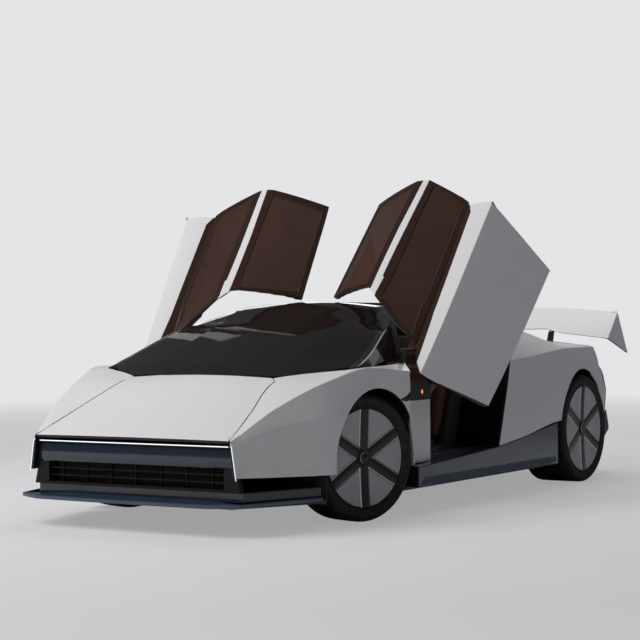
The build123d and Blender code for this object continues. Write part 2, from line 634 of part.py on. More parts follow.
# Half of the tub: lowest and highest corner of its floor, side beam, spine and front bulkhead.
TUB_BEAMS = (
    ((0, -890, FLOOR_TOP + SEAT), (880, 440, 175)),
    ((790, -890, 170), (880, 440, SILL_TOP)),
    ((0, -890, 170), (110, 440, 330)),
    ((0, -892, 170), (860, -860, 760)),
)
COWL_TOP = 754.0
cowl_plan = (
    (0, -1590), (500, -1590), (845, -1352), (850, -790), (780, -790), (775, -1300), (470, -1500), (0, -1500),
)
with BuildPart() as half_tub:
    for low, high in TUB_BEAMS:
        add(block(low, high))
    add(plan_prism(cowl_plan, LINER_TOP + SEAT, COWL_TOP))
    with BuildPart(mode=Mode.PRIVATE) as bulkhead:
        add(hull(TAIL, TAIL_INWARD, SKIN + SEAT))
        add(block((0, 433, 330), (1000, 463, 1300)), mode=Mode.INTERSECT)
        add(block((880, 433, 330), (1000, 463, SILL_TOP + 46)), mode=Mode.SUBTRACT)
        add(block((0, 433, 150.3), (880, 463, 331)))
        add(hoop_clear.part, mode=Mode.SUBTRACT)
    add(bulkhead.part)
with BuildPart() as tub:
    add(half_tub.part)
    add(mirror(half_tub.part, about=Plane.YZ))
    add(lid_bracket(BONNET_HINGE, LID_BARREL_R[0], LID_BARREL_HALF[0], ((-1560, 753), (-1585, 753))))
    add(lid_bracket(COVER_HINGE, LID_BARREL_R[1], LID_BARREL_HALF[1], ((480, 1130), (460, 1115), (460, 1150))))
save(tub, "tub")

# ---------------------------------------------------------------- cabin
WHEEL_POST = Plane(origin=(400, -560, 700), z_dir=(0, 0.95, 0.31))
with BuildPart() as dashboard:
    add(side_prism(((-859.7, 560), (-859.7, 762), (-1000, 830), (-1000, 850), (-700, 800), (-600, 740), (-640, 600)), -770, 770))
    with BuildSketch(WHEEL_POST.offset(-125)):
        Circle(30.4)
    extrude(amount=260, mode=Mode.SUBTRACT)
save(dashboard, "dashboard")

with BuildPart() as console:
    add(side_prism(((-855, 330.3), (-855, 555), (-640, 595), (-200, 430), (370, 420), (370, 330.3)), -85, 85))
save(console, "console")

seat_side = (
    (-420, 175.3), (-430, 330), (-400, 350), (-60, 300), (20, 330), (230, 900), (290, 1000), (350, 1000),
    (370, 900), (180, 300), (120, 175.3),
)
with BuildPart() as left_seat:
    add(side_prism(seat_side, 150, 650))
    add(side_prism(((-350, 352), (-60, 310), (20, 335), (190, 790), (180, 900), (-200, 900)), 230, 570), mode=Mode.SUBTRACT)
save(left_seat, "left_seat")
mirrored(left_seat, "right_seat")

with BuildPart() as steering_wheel:
    with BuildSketch(WHEEL_POST):
        Circle(175)
        Circle(150, mode=Mode.SUBTRACT)
        Rectangle(310, 40)
    extrude(amount=24)
    with BuildSketch(WHEEL_POST.offset(-120)):
        Circle(30)
    extrude(amount=130)
save(steering_wheel, "steering_wheel")


# ---------------------------------------------------------------- wheels
def tyre(radius, width, rim_radius, face_x):
    """Tyre about the X axis with its outer face at face_x, axle at the origin of y and z."""
    inner = face_x - width
    with BuildPart() as body:
        with BuildSketch(Plane.XY):
            with BuildLine():
                Polyline(
                    (inner + 8, rim_radius), (inner, radius - 30), (inner + 26, radius), (face_x - 26, radius),
                    (face_x, radius - 30), (face_x - 8, rim_radius), close=True,
                )
            make_face()
        revolve(axis=Axis.X)
    return body.part


def rim(radius, width, face_x):
    """Wheel about the X axis: barrel, hub, six spokes and a face ring."""
    inner = face_x - width
    with BuildPart() as body:
        with BuildSketch(Plane.XY):
            with BuildLine():
                Polyline(
                    (inner + 8, radius - 30), (inner + 8, radius - SEAT), (face_x - 8, radius - SEAT), (face_x - 8, radius - 26),
                    close=True,
                )
            make_face()
            with BuildLine():
                Polyline((face_x - 90, 0), (face_x - 90, 70), (face_x - 22, 70), (face_x - 22, 0), close=True)
            make_face()
        revolve(axis=Axis.X)
        with BuildSketch(Plane.YZ.offset(face_x - 90)):
            Circle(140)
            Circle(60, mode=Mode.SUBTRACT)
        extrude(amount=-12)
        with BuildSketch(Plane.YZ.offset(face_x - 46)):
            with PolarLocations(0, SPOKES, start_angle=SPOKE_START):
                with Locations((radius / 2, 0)):
                    Rectangle(radius - 30, 46)
        extrude(amount=30)
    return body.part


front_tyre = tyre(FRONT_TYRE_R, FRONT_TYRE_W, FRONT_RIM_R, FRONT_FACE_X - KINGPIN_X)
front_rim = rim(FRONT_RIM_R, FRONT_TYRE_W, FRONT_FACE_X - KINGPIN_X)
rear_tyre = tyre(REAR_TYRE_R, REAR_TYRE_W, REAR_RIM_R, REAR_FACE_X)
rear_rim = rim(REAR_RIM_R, REAR_TYRE_W, REAR_FACE_X)

BALL_Z = 150.0                 # half height of the knuckle between its ball joints
with BuildPart() as knuckle:
    add(cross_cylinder(0, 0, 34, -60, FRONT_FACE_X - KINGPIN_X - 90 - SEAT))
    add(block((-60, -35, -BALL_Z), (-34, 35, BALL_Z)))
    for low in (-BALL_Z, BALL_Z - 20):
        with BuildSketch(Plane.XY.offset(low)):
            Circle(13)
            with Locations((-47, 0)):
                Rectangle(26, 60)
            make_hull()
        extrude(amount=20)

ARM_ROOT_X = 527.0 + SEAT
with BuildPart() as arm_plan:
    for low in (FRONT_TYRE_R - BALL_Z - SEAT - 20, FRONT_TYRE_R + BALL_Z + SEAT):
        with BuildSketch(Plane.XY.offset(low)):
            with BuildLine():
                Polyline((ARM_ROOT_X, FRONT_AXLE_Y - 85), (ARM_ROOT_X, FRONT_AXLE_Y + 85),
                         (KINGPIN_X, FRONT_AXLE_Y + 20), (KINGPIN_X, FRONT_AXLE_Y - 20), close=True)
            make_face()
            with Locations((KINGPIN_X, FRONT_AXLE_Y)):
                Circle(20)
        extrude(amount=20)
with BuildPart() as front_arms:
    add(arm_plan.part)
    add(mirror(arm_plan.part, about=Plane.YZ))
save(front_arms, "front_arms")

for side, name in ((1, "left"), (-1, "right")):
    spot = Location((side * KINGPIN_X, FRONT_AXLE_Y, FRONT_TYRE_R), (0, 0, STEER_REST))
    for piece, label in ((front_tyre, "tyre"), (front_rim, "rim"), (knuckle.part, "knuckle")):
        handed = piece if side > 0 else mirror(piece, about=Plane.YZ)
        with BuildPart() as placed:
            add(spot * handed)
        save(placed, f"front_{name}_{label}")
    spot = Location((0, REAR_AXLE_Y, REAR_TYRE_R))
    for piece, label in ((rear_tyre, "tyre"), (rear_rim, "rim")):
        handed = piece if side > 0 else mirror(piece, about=Plane.YZ)
        with BuildPart() as placed:
            add(spot * handed)
        save(placed, f"rear_{name}_{label}")

with BuildPart() as rear_axle:
    for near, far in ((-REAR_FACE_X + 90.3, -220.3), (220.3, REAR_FACE_X - 90.3)):
        add(cross_cylinder(REAR_AXLE_Y, REAR_TYRE_R, 34, near, far))
save(rear_axle, "rear_axle")

with BuildPart() as drive_unit:
    add(block((-220, 1190, 150.3), (220, 1600, 560)))
save(drive_unit, "drive_unit")

with BuildPart() as battery_pack:
    add(block((-500, 465, 150.3), (500, 955, 620)))
save(battery_pack, "battery_pack")
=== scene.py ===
"""Low two-seat supercar with its doors raised: surfaces, trim, wheels, seats and studio."""

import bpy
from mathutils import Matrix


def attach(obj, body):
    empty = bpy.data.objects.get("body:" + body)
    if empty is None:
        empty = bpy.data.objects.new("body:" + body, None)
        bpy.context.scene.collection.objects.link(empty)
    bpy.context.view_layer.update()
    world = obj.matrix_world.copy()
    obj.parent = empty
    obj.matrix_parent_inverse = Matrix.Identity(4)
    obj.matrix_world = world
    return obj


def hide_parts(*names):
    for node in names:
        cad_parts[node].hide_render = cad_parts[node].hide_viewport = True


bl_info = {
    "name": "Wedge Supercar",
    "version": (1, 0, 0),
    "blender": (4, 5, 0),
    "location": "3D View > Sidebar > Supercar",
    "description": "Builds the finished look of a two-seat supercar around its fixed frame",
    "category": "Object",
}

import math

import bmesh
import bpy
from bpy.props import FloatProperty, FloatVectorProperty, IntProperty, PointerProperty
from mathutils import Matrix, Vector
from mathutils.bvhtree import BVHTree
from mathutils.geometry import barycentric_transform

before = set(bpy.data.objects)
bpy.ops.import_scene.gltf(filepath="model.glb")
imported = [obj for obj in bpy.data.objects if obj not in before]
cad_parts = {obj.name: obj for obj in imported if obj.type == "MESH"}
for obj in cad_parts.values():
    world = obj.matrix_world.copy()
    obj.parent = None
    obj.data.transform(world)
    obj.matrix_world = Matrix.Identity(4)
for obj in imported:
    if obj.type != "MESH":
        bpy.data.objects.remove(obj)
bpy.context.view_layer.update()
MM = 0.001

# ------------------------------------------------------------------ driving dimensions, metres
SEAM = 0.0025                   # width of the rounding along panel edges
GRID = 0.055                    # cell of the smoothing grid on body panels
CREASE_ANGLE = math.radians(34)
SAME_SPOT = 0.00001             # vertices this close are one
FLAT_ANGLE = math.radians(0.3)  # faces that turn less than this are merged
CUT_SNAP, CUT_MERGE, SLIVER = 0.0004, 0.0008, 0.0003    # clean-up after a panel is cut in a grid
ON_SURFACE = 0.0006             # furthest from the hull that a vertex counts as on it
HULL_TIE = 0.0005               # a later hull wins a vertex only if it is nearer by this
CREASE_NEAR = 0.012             # share of a band within which an edge counts as on its crease
FADE_DEPTH = (0.028, 0.075)     # body panels follow the smooth surface down to here, then stay put
STEER_REST = math.radians(-17.3)
DOOR_OPEN = math.radians(61.5)
HINGE_POINT = Vector((0.8765, -0.85, 0.9139))
HINGE_AXIS = Vector((0.81985, -0.46167, -0.33868)).normalized()
SPOKES = 6

# Body sections, half of the car. Each row: y, then corner points (x, z) from the low edge up,
# then the height at the centre line.
BODY = (
    (-2.250, (0.690, 0.300), (0.664, 0.470), (0.659, 0.482), (0.652, 0.489), 0.492),
    (-1.985, (0.797, 0.291), (0.790, 0.545), (0.744, 0.637), (0.597, 0.613), 0.628),
    (-1.640, (0.938, 0.284), (0.938, 0.592), (0.858, 0.775), (0.521, 0.772), 0.792),
    (-1.360, (0.966, 0.280), (0.970, 0.600), (0.946, 0.842), (0.863, 0.835), 0.850),
    (-0.900, (0.972, 0.280), (0.980, 0.600), (0.986, 0.812), (0.857, 0.853), 0.900),
    (0.262, (1.000, 0.325), (1.004, 0.600), (1.000, 0.846), (0.817, 0.912), 0.950),
)
HOUSE = (
    (-1.597, (0.511, 0.700), (0.508, 0.792), (0.280, 0.798), 0.800),
    (-1.360, (0.863, 0.760), (0.858, 0.838), (0.460, 0.880), 0.890),
    (-0.789, (0.853, 0.860), (0.735, 1.058), (0.430, 1.098), 1.110),
    (-0.460, (0.848, 0.876), (0.606, 1.140), (0.500, 1.186), 1.218),
    (0.428, (0.812, 0.918), (0.557, 1.121), (0.480, 1.168), 1.216),
)
TAIL = (
    (0.090, (1.000, 0.325), (1.004, 0.600), (1.000, 0.838), (0.600, 1.128), (0.480, 1.172), 1.222),
    (0.428, (1.000, 0.360), (1.004, 0.620), (1.001, 0.856), (0.557, 1.121), (0.480, 1.168), 1.216),
    (1.000, (1.000, 0.435), (1.004, 0.640), (0.993, 0.900), (0.737, 1.016), (0.600, 1.040), 1.092),
    (1.183, (0.998, 0.440), (1.000, 0.645), (0.978, 0.908), (0.800, 0.953), (0.640, 0.985), 1.040),
    (1.640, (0.960, 0.440), (0.962, 0.650), (0.940, 0.908), (0.930, 0.909), (0.700, 0.925), 0.950),
    (1.900, (0.915, 0.440), (0.925, 0.600), (0.905, 0.690), (0.880, 0.760), (0.700, 0.850), 0.880),
    (2.090, (0.820, 0.440), (0.835, 0.600), (0.828, 0.690), (0.790, 0.760), (0.640, 0.850), 0.870),
)
# How far the middle of each band stands proud of a straight line between its corners.
BODY_CROWN = (0.0, 0.001, 0.003, 0.0)
HOUSE_CROWN = (0.006, 0.002, 0.0)
TAIL_CROWN = (0.0, 0.0015, 0.005, 0.002, 0.0)


# ------------------------------------------------------------------ settings
class SupercarPaint(bpy.types.PropertyGroup):
    pearl: FloatVectorProperty(name="Pearl", description="Body paint", subtype="COLOR",
                               size=4, min=0, max=1, default=(0.74, 0.735, 0.75, 1))
    ink: FloatVectorProperty(name="Ink", description="Gloss lower trim", subtype="COLOR",
                             size=4, min=0, max=1, default=(0.015, 0.024, 0.040, 1))
    bronze: FloatVectorProperty(name="Bronze glass", description="Door glass tint", subtype="COLOR",
                                size=4, min=0, max=1, default=(0.060, 0.030, 0.022, 1))
    leather: FloatVectorProperty(name="Leather", description="Seats and trim", subtype="COLOR",
                                 size=4, min=0, max=1, default=(0.105, 0.046, 0.030, 1))
    caliper: FloatVectorProperty(name="Caliper", description="Brake calipers", subtype="COLOR",
                                 size=4, min=0, max=1, default=(0.62, 0.075, 0.02, 1))


class SupercarSizes(bpy.types.PropertyGroup):
    spoke_width: FloatProperty(name="Spoke width", description="Width of a wheel spoke at the rim",
                               default=0.0570, min=0.03, max=0.08, subtype="DISTANCE", unit="LENGTH")
    edge_line: FloatProperty(name="Spoke edge", description="Width of the bright line along a spoke",
                             default=0.0055, min=0.001, max=0.01, subtype="DISTANCE", unit="LENGTH")
    tread_blocks: IntProperty(name="Tread blocks", description="Shoulder blocks round a tyre",
                              default=72, min=24, max=120)
    groove: FloatProperty(name="Tread groove", description="Depth of the tread grooves",
                          default=0.006, min=0.002, max=0.01, subtype="DISTANCE", unit="LENGTH")
    floor_size: FloatProperty(name="Floor", description="Length of the studio floor",
                              default=60.0, min=10, max=200, subtype="DISTANCE", unit="LENGTH")


def paint():
    return bpy.context.scene.supercar_paint


def sizes():
    return bpy.context.scene.supercar_sizes


# ------------------------------------------------------------------ materials
class Finish:
    """A node material under construction: one Principled shader and the textures that feed it."""

    def __init__(self, name, colour, roughness, **sockets):
        self.made = bpy.data.materials.new(name)
        self.made.use_nodes = True
        self.tree = self.made.node_tree
        self.shader = self.tree.nodes["Principled BSDF"]
        self.shader.inputs["Base Color"].default_value = (*colour[:3], 1)
        self.shader.inputs["Roughness"].default_value = roughness
        for socket, value in sockets.items():
            self.shader.inputs[socket.replace("_", " ")].default_value = value
        self.place = self.node("ShaderNodeTexCoord").outputs["Object"]

    def node(self, kind, **values):
        made = self.tree.nodes.new(kind)
        for key, value in values.items():
            setattr(made, key, value)
        return made

    def link(self, source, target):
        self.tree.links.new(source, target)

    def scaled(self, factors, turn=(0, 0, 0)):
        """Object coordinates stretched by three factors and turned."""
        mapping = self.node("ShaderNodeMapping")
        mapping.inputs["Scale"].default_value = factors
        mapping.inputs["Rotation"].default_value = turn
        self.link(self.place, mapping.inputs["Vector"])
        return mapping.outputs["Vector"]

    def noise(self, scale, detail=3.0, at=None, roughness=0.55):
        made = self.node("ShaderNodeTexNoise")
        made.inputs["Scale"].default_value = scale
        made.inputs["Detail"].default_value = detail
        made.inputs["Roughness"].default_value = roughness
        self.link(at or self.place, made.inputs["Vector"])
        return made.outputs["Fac"]

    def cells(self, scale, feature="F1", output="Distance"):
        made = self.node("ShaderNodeTexVoronoi", feature=feature)
        made.inputs["Scale"].default_value = scale
        self.link(self.place, made.inputs["Vector"])
        return made.outputs[output]

    def bands(self, scale, direction, at=None):
        made = self.node("ShaderNodeTexWave", wave_type="BANDS", bands_direction=direction)
        made.inputs["Scale"].default_value = scale
        self.link(at or self.place, made.inputs["Vector"])
        return made.outputs["Fac"]

    def stepped(self, source, low, high, near=0.0, far=1.0):
        """A value remapped from one range to another, clamped."""
        made = self.node("ShaderNodeMapRange")
        for key, value in zip(("From Min", "From Max", "To Min", "To Max"), (low, high, near, far)):
            made.inputs[key].default_value = value
        self.link(source, made.inputs["Value"])
        return made.outputs["Result"]

    def sum(self, first, second, kind="ADD"):
        made = self.node("ShaderNodeMath", operation=kind)
        self.link(first, made.inputs[0])
        if isinstance(second, (int, float)):
            made.inputs[1].default_value = second
        else:
            self.link(second, made.inputs[1])
        return made.outputs[0]

    def blend(self, factor, first, second):
        """Mix of two colours; each is a colour tuple or a colour output."""
        made = self.node("ShaderNodeMix", data_type="RGBA")
        self.link(factor, made.inputs["Factor"])
        for value, index in ((first, 6), (second, 7)):
            if isinstance(value, (tuple, list)):
                made.inputs[index].default_value = (*value[:3], 1)
            else:
                self.link(value, made.inputs[index])
        return made.outputs[2]

    def coloured(self, factor, first, second):
        self.link(self.blend(factor, first, second), self.shader.inputs["Base Color"])
        return self

    def rough(self, source, near, far, low=0.3, high=0.7):
        self.link(self.stepped(source, low, high, near, far), self.shader.inputs["Roughness"])
        return self

    def bumped(self, height, strength, distance):
        made = self.node("ShaderNodeBump")
        made.inputs["Strength"].default_value = strength
        made.inputs["Distance"].default_value = distance
        self.link(height, made.inputs["Height"])
        self.link(made.outputs["Normal"], self.shader.inputs["Normal"])
        return self

    def height(self):
        """The z coordinate of a point, in metres."""
        made = self.node("ShaderNodeSeparateXYZ")
        self.link(self.place, made.inputs[0])
        return made.outputs["Z"]


def shade(colour, factor):
    """Colour made lighter or darker by a factor."""
    return tuple(min(1.0, c * factor) for c in colour[:3])


def pearl_paint():
    base = shade(paint().pearl, 1.0)
    made = Finish("pearl_paint", base, 0.34, Metallic=0.0, Coat_Weight=0.30, Coat_Roughness=0.16,
                  Specular_IOR_Level=0.5)
    flake = made.cells(1400.0, output="Color")
    grey = made.node("ShaderNodeSeparateColor")
    made.link(flake, grey.inputs[0])
    sparkle = made.stepped(grey.outputs[0], 0.0, 1.0)
    film = made.noise(3.5, 4.0)
    # Darker, browner patches towards the bottom of the body: full below 0.2 m, gone above 0.5 m.
    patches = made.sum(made.stepped(made.height(), 0.50, 0.20),
                    made.stepped(made.noise(26.0, 5.0), 0.42, 0.66), "MULTIPLY")
    flake_tone = made.blend(made.stepped(made.sum(sparkle, film), 0.5, 1.5), shade(base, 0.965),
                       shade(base, 1.02))
    made.coloured(made.sum(patches, 0.22, "MULTIPLY"), flake_tone, (0.34, 0.32, 0.30))
    made.rough(made.sum(sparkle, film), 0.30, 0.40, 0.5, 1.5)
    made.bumped(made.noise(620.0, 2.0), 0.05, 0.0004)
    return made.made


def gloss_ink(name="ink_gloss", colour=None, roughness=0.13, coat=0.6):
    base = colour or paint().ink
    made = Finish(name, base, roughness, Coat_Weight=coat, Coat_Roughness=0.05)
    film = made.noise(7.0, 5.0)
    speck = made.stepped(made.cells(900.0), 0.02, 0.10, 1.0, 0.0)
    made.coloured(made.sum(speck, 0.25, "MULTIPLY"), shade(base, 1.0), shade(base, 3.0))
    made.rough(film, roughness * 0.75, roughness * 1.5)
    made.bumped(made.noise(480.0, 2.0), 0.03, 0.0004)
    return made.made


def carbon_weave():
    made = Finish("carbon_twill", (0.012, 0.012, 0.013), 0.34, Coat_Weight=0.35, Coat_Roughness=0.16)
    warp = made.bands(160.0, "X", at=made.scaled((1, 1, 1), (0, 0, math.radians(45))))
    weft = made.bands(160.0, "Y", at=made.scaled((1, 1, 1), (0, 0, math.radians(45))))
    tow = made.node("ShaderNodeTexChecker")
    tow.inputs["Scale"].default_value = 330.0
    made.link(made.place, tow.inputs["Vector"])
    cloth = made.node("ShaderNodeMix", data_type="FLOAT")
    made.link(tow.outputs["Fac"], cloth.inputs["Factor"])
    made.link(warp, cloth.inputs[2])
    made.link(weft, cloth.inputs[3])
    made.coloured(cloth.outputs[0], (0.006, 0.006, 0.007), (0.030, 0.031, 0.034))
    made.rough(cloth.outputs[0], 0.28, 0.46, 0.0, 1.0)
    made.bumped(cloth.outputs[0], 0.25, 0.0006)
    return made.made


GLASS_ROUGHNESS = 0.035


def tinted_glass(name, colour, cover):
    made = Finish(name, colour, GLASS_ROUGHNESS, Alpha=cover, Coat_Weight=0.1, Coat_Roughness=0.02,
                  IOR=1.45,
                  Specular_IOR_Level=0.28)
    smear = made.noise(5.0, 6.0, at=made.scaled((1, 2.5, 1)))
    made.coloured(made.stepped(made.noise(2.2, 3.0), 0.35, 0.65), shade(colour, 0.9), shade(colour, 1.15))
    made.rough(smear, GLASS_ROUGHNESS * 0.6, GLASS_ROUGHNESS * 2.0)
    made.bumped(made.noise(1.7, 2.0), 0.02, 0.002)
    return made.made


def frit(name, colour):
    """Fired border behind flush glass: the glass's tint over black."""
    made = Finish(name, colour, 0.05, Coat_Weight=0.1, Coat_Roughness=0.02, Specular_IOR_Level=0.28)
    dots = made.stepped(made.cells(420.0), 0.10, 0.30, 1.0, 0.0)
    made.coloured(made.sum(dots, made.stepped(made.noise(3.0, 4.0), 0.3, 0.7), "MULTIPLY"),
                  shade(colour, 0.55), colour)
    made.rough(made.noise(6.0, 5.0), 0.03, 0.08)
    made.bumped(made.noise(1.9, 2.0), 0.02, 0.002)
    return made.made


def hide(name, colour, perforated=False):
    """Leather: pebbled grain, with painted shade darkening the creases between the pebbles."""
    made = Finish(name, colour, 0.5, Sheen_Weight=0.12, Sheen_Roughness=0.45)
    pebble = made.cells(420.0, "F2")
    grain_crease_shade = made.cells(420.0, "DISTANCE_TO_EDGE")
    tone = made.noise(11.0, 6.0)
    wear = made.noise(55.0, 5.0)
    deep = made.blend(made.stepped(tone, 0.3, 0.7), shade(colour, 0.78), shade(colour, 1.16))
    # Painted shade: darker in the creases between the pebbles.
    made.coloured(made.stepped(grain_crease_shade, 0.0, 0.07, 0.45, 0.0), deep, shade(colour, 0.40))
    made.rough(made.sum(wear, tone), 0.38, 0.60, 0.7, 1.3)
    grain = made.sum(pebble, made.sum(made.noise(150.0, 4.0), 0.6, "MULTIPLY"))
    if perforated:
        holes = made.stepped(made.cells(170.0), 0.10, 0.22, -1.4, 0.0)
        grain = made.sum(grain, holes)
    made.bumped(grain, 0.42, 0.0011)
    return made.made


def suede(name, colour):
    made = Finish(name, colour, 0.85, Sheen_Weight=0.5, Sheen_Roughness=0.35)
    nap = made.noise(24.0, 8.0, roughness=0.75)
    fibre = made.noise(900.0, 3.0)
    made.coloured(made.stepped(made.sum(nap, fibre), 0.7, 1.3), shade(colour, 0.75), shade(colour, 1.35))
    made.rough(nap, 0.78, 0.95)
    made.bumped(fibre, 0.35, 0.0008)
    return made.made


def rubber(name="tyre_rubber", patches=1.0):
    made = Finish(name, (0.016, 0.016, 0.017), 0.72, Specular_IOR_Level=0.4)
    scuff = made.noise(34.0, 6.0, roughness=0.7)
    made.coloured(made.stepped(scuff, 0.46, 0.72, 0.0, patches), (0.011, 0.011, 0.012), (0.050, 0.048, 0.045))
    made.rough(scuff, 0.58, 0.86)
    made.bumped(made.sum(made.noise(330.0, 4.0), scuff), 0.32, 0.0009)
    return made.made


def machined(name, colour, roughness, direction=(1, 60, 60), metallic=1.0, wear=0.4):
    """Metal with fine tool marks stretched along one direction."""
    made = Finish(name, colour, roughness, Metallic=metallic)
    marks = made.noise(28.0, 6.0, at=made.scaled(direction), roughness=0.7)
    stain = made.noise(15.0, 5.0)
    made.coloured(made.stepped(stain, 0.35, 0.75, 0.0, wear), shade(colour, 1.0), shade(colour, 0.62))
    made.rough(marks, roughness * 0.75, roughness * 1.35)
    made.bumped(marks, 0.16, 0.0005)
    return made.made


def cast_metal(name, colour, roughness=0.55):
    made = Finish(name, colour, roughness, Metallic=0.75)
    sand = made.noise(210.0, 6.0, roughness=0.7)
    grime = made.noise(9.0, 6.0)
    made.coloured(made.stepped(grime, 0.42, 0.72), colour, shade(colour, 0.45))
    made.rough(made.sum(sand, grime), roughness * 0.8, roughness * 1.25, 0.7, 1.3)
    made.bumped(sand, 0.5, 0.0013)
    return made.made


def moulded(name, colour, roughness=0.55):
    """Grained plastic."""
    made = Finish(name, colour, roughness)
    grain = made.cells(650.0, "F2")
    scuff = made.noise(18.0, 6.0)
    made.coloured(made.stepped(scuff, 0.40, 0.75), colour, shade(colour, 1.7))
    made.rough(scuff, roughness * 0.8, roughness * 1.2)
    made.bumped(grain, 0.28, 0.0007)
    return made.made


def glowing(name, colour, strength, base=(0.8, 0.8, 0.8)):
    """Light guide: ribbed optics with an even glow."""
    made = Finish(name, base, 0.15, Coat_Weight=0.8, Coat_Roughness=0.03)
    made.shader.inputs["Emission Color"].default_value = (*colour[:3], 1)
    made.shader.inputs["Emission Strength"].default_value = strength
    ribs = made.bands(95.0, "X")
    made.coloured(made.stepped(ribs, 0.2, 0.8), shade(base, 0.75), base)
    made.bumped(ribs, 0.3, 0.0008)
    made.rough(made.noise(40.0, 3.0), 0.10, 0.22)
    return made.made


def knitted(name, colour):
    """Woven cloth for belts and linings."""
    made = Finish(name, colour, 0.8, Sheen_Weight=0.3)
    warp = made.bands(330.0, "X")
    weft = made.bands(330.0, "Z")
    weave = made.sum(warp, weft, "MULTIPLY")
    made.coloured(made.sum(weave, made.stepped(made.noise(30.0, 4.0), 0.3, 0.7), "MULTIPLY"),
                  shade(colour, 0.6), shade(colour, 1.3))
    made.rough(made.noise(60.0, 3.0), 0.7, 0.9)
    made.bumped(weave, 0.4, 0.0007)
    return made.made


FINISHES = {
    "pearl": pearl_paint,
    "ink": gloss_ink,
    "black": lambda: gloss_ink("black_gloss", (0.008, 0.008, 0.009), 0.10),
    "frit_bronze": lambda: frit("door_glass_border", shade(paint().bronze, 1.0)),
    "screen": lambda: tinted_glass("windscreen_tint", (0.010, 0.007, 0.006), 0.95),
    "bronze": lambda: tinted_glass("bronze_tint", tuple(paint().bronze), 0.93),
    "side_glass": lambda: tinted_glass("side_tint", shade(paint().bronze, 0.80), 0.95),
    "carbon": carbon_weave,
    "leather": lambda: hide("seat_leather", paint().leather, True),
    "leather_plain": lambda: hide("trim_leather", shade(paint().leather, 0.85)),
    "dash": lambda: hide("dash_leather", shade(paint().leather, 0.42)),
    "suede": lambda: suede("lining_suede", (0.035, 0.026, 0.022)),
    "stitch": lambda: knitted("seam_thread", (0.40, 0.24, 0.15)),
    "webbing": lambda: knitted("belt_webbing", (0.055, 0.030, 0.022)),
    "rubber": rubber,
    "seal": lambda: rubber("seal_rubber", 0.35),
    "edge": lambda: machined("bright_spoke_edge", (0.86, 0.86, 0.87), 0.38, metallic=0.55, wear=0.15),
    "satin": lambda: machined("satin_infill", (0.46, 0.46, 0.48), 0.42, metallic=0.15, wear=0.25),
    "wheel_black": lambda: gloss_ink("wheel_black", (0.004, 0.004, 0.005), 0.24, 0.15),
    "steel": lambda: machined("turned_steel", (0.36, 0.36, 0.37), 0.34),
    "disc": lambda: machined("brake_disc_face", (0.30, 0.29, 0.29), 0.30, (60, 8, 8)),
    "cast": lambda: cast_metal("cast_housing", (0.24, 0.245, 0.25)),
    "anodised": lambda: cast_metal("battery_case", (0.055, 0.060, 0.068), 0.42),
    "moulded": lambda: moulded("grained_black", (0.018, 0.018, 0.019)),
    # Black plastic made darker than the other black trim: painted shade in the intake and on the nose plate
    # below the band.
    "black_and_shade": lambda: moulded("intake_black_and_painted_shade", (0.006, 0.006, 0.007), 0.6),
    # Lighter copy of the ink: painted light on the splitter's upward faces and lip.
    "lip": lambda: gloss_ink("lip_gloss_painted_light", shade(paint().ink, 2.6), 0.22),
    "caliper": lambda: gloss_ink("caliper_enamel", tuple(paint().caliper), 0.28),
    "lamp_amber": lambda: glowing("amber_lens", (1.0, 0.22, 0.04), 1.4, (0.7, 0.12, 0.03)),
    # Glows in the lens, and in the corner strips, where it paints the front wings' edge highlight.
    "light": lambda: glowing("white_guide_and_painted_highlight", (0.92, 0.96, 1.0), 1.0, (0.85, 0.88, 0.9)),
    "tail": lambda: glowing("red_guide", (1.0, 0.02, 0.02), 0.9, (0.30, 0.006, 0.006)),
    "display": lambda: gloss_ink("display_glass", (0.006, 0.007, 0.010), 0.06),
}
made_finishes = {}


def finish(key):
    """Material for a finish, made on first use."""
    if key not in made_finishes:
        made_finishes[key] = FINISHES[key]()
    return made_finishes[key]


# ------------------------------------------------------------------ mesh helpers
def new_object(name, mesh_or_bm, keys):
    """Object from a bmesh with materials by finish name."""
    if isinstance(mesh_or_bm, bmesh.types.BMesh):
        mesh = bpy.data.meshes.new(name)
        mesh_or_bm.to_mesh(mesh)
        mesh_or_bm.free()
    else:
        mesh = mesh_or_bm
    for key in keys:
        mesh.materials.append(finish(key))
    made = bpy.data.objects.new(name, mesh)
    bpy.context.scene.collection.objects.link(made)
    mesh.polygons.foreach_set("use_smooth", [True] * len(mesh.polygons))
    return made


def rounded(obj, width=SEAM, segments=2):
    """Rounds an object's hard edges and evens out its shading."""
    bevel = obj.modifiers.new("edge_round", "BEVEL")
    bevel.width = width
    bevel.segments = segments
    bevel.limit_method = "ANGLE"
    bevel.angle_limit = CREASE_ANGLE
    bevel.use_clamp_overlap = False
    even = obj.modifiers.new("even_shading", "WEIGHTED_NORMAL")
    even.keep_sharp = True
    even.weight = 50
    return obj


def place(obj, body, nodes=()):
    """Seats a finished piece on its body and hides the CAD nodes it stands for."""
    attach(obj, body)
    if nodes:
        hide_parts(*nodes)
    return obj


def add_ring_faces(bm, rings, closed=True, caps=True, zone=None):
    """Skins a list of vertex rings; zone(i, j) gives a face's material index."""
    count = len(rings[0])
    for i, (near, far) in enumerate(zip(rings, rings[1:])):
        for j in range(count if closed else count - 1):
            n = (j + 1) % count
            face = bm.faces.new((near[j], near[n], far[n], far[j]))
            face.material_index = zone(i, j) if zone else 0
    if caps and closed:
        for ring, flip in ((rings[0], True), (rings[-1], False)):
            face = bm.faces.new(ring[::-1] if flip else ring)
            face.material_index = zone(-1, 0) if zone else 0


def skin(bm, rings, **how):
    """Adds rings of points to a bmesh and skins them."""
    add_ring_faces(bm, [[bm.verts.new(p) for p in ring] for ring in rings], **how)


def prism(bm, outline, low, high, place_point, zone=0):
    """Solid between two copies of an outline; place_point(a, b, h) gives the point."""
    rings = [[bm.verts.new(place_point(a, b, h)) for a, b in outline] for h in (low, high)]
    add_ring_faces(bm, rings, zone=lambda i, j: zone)


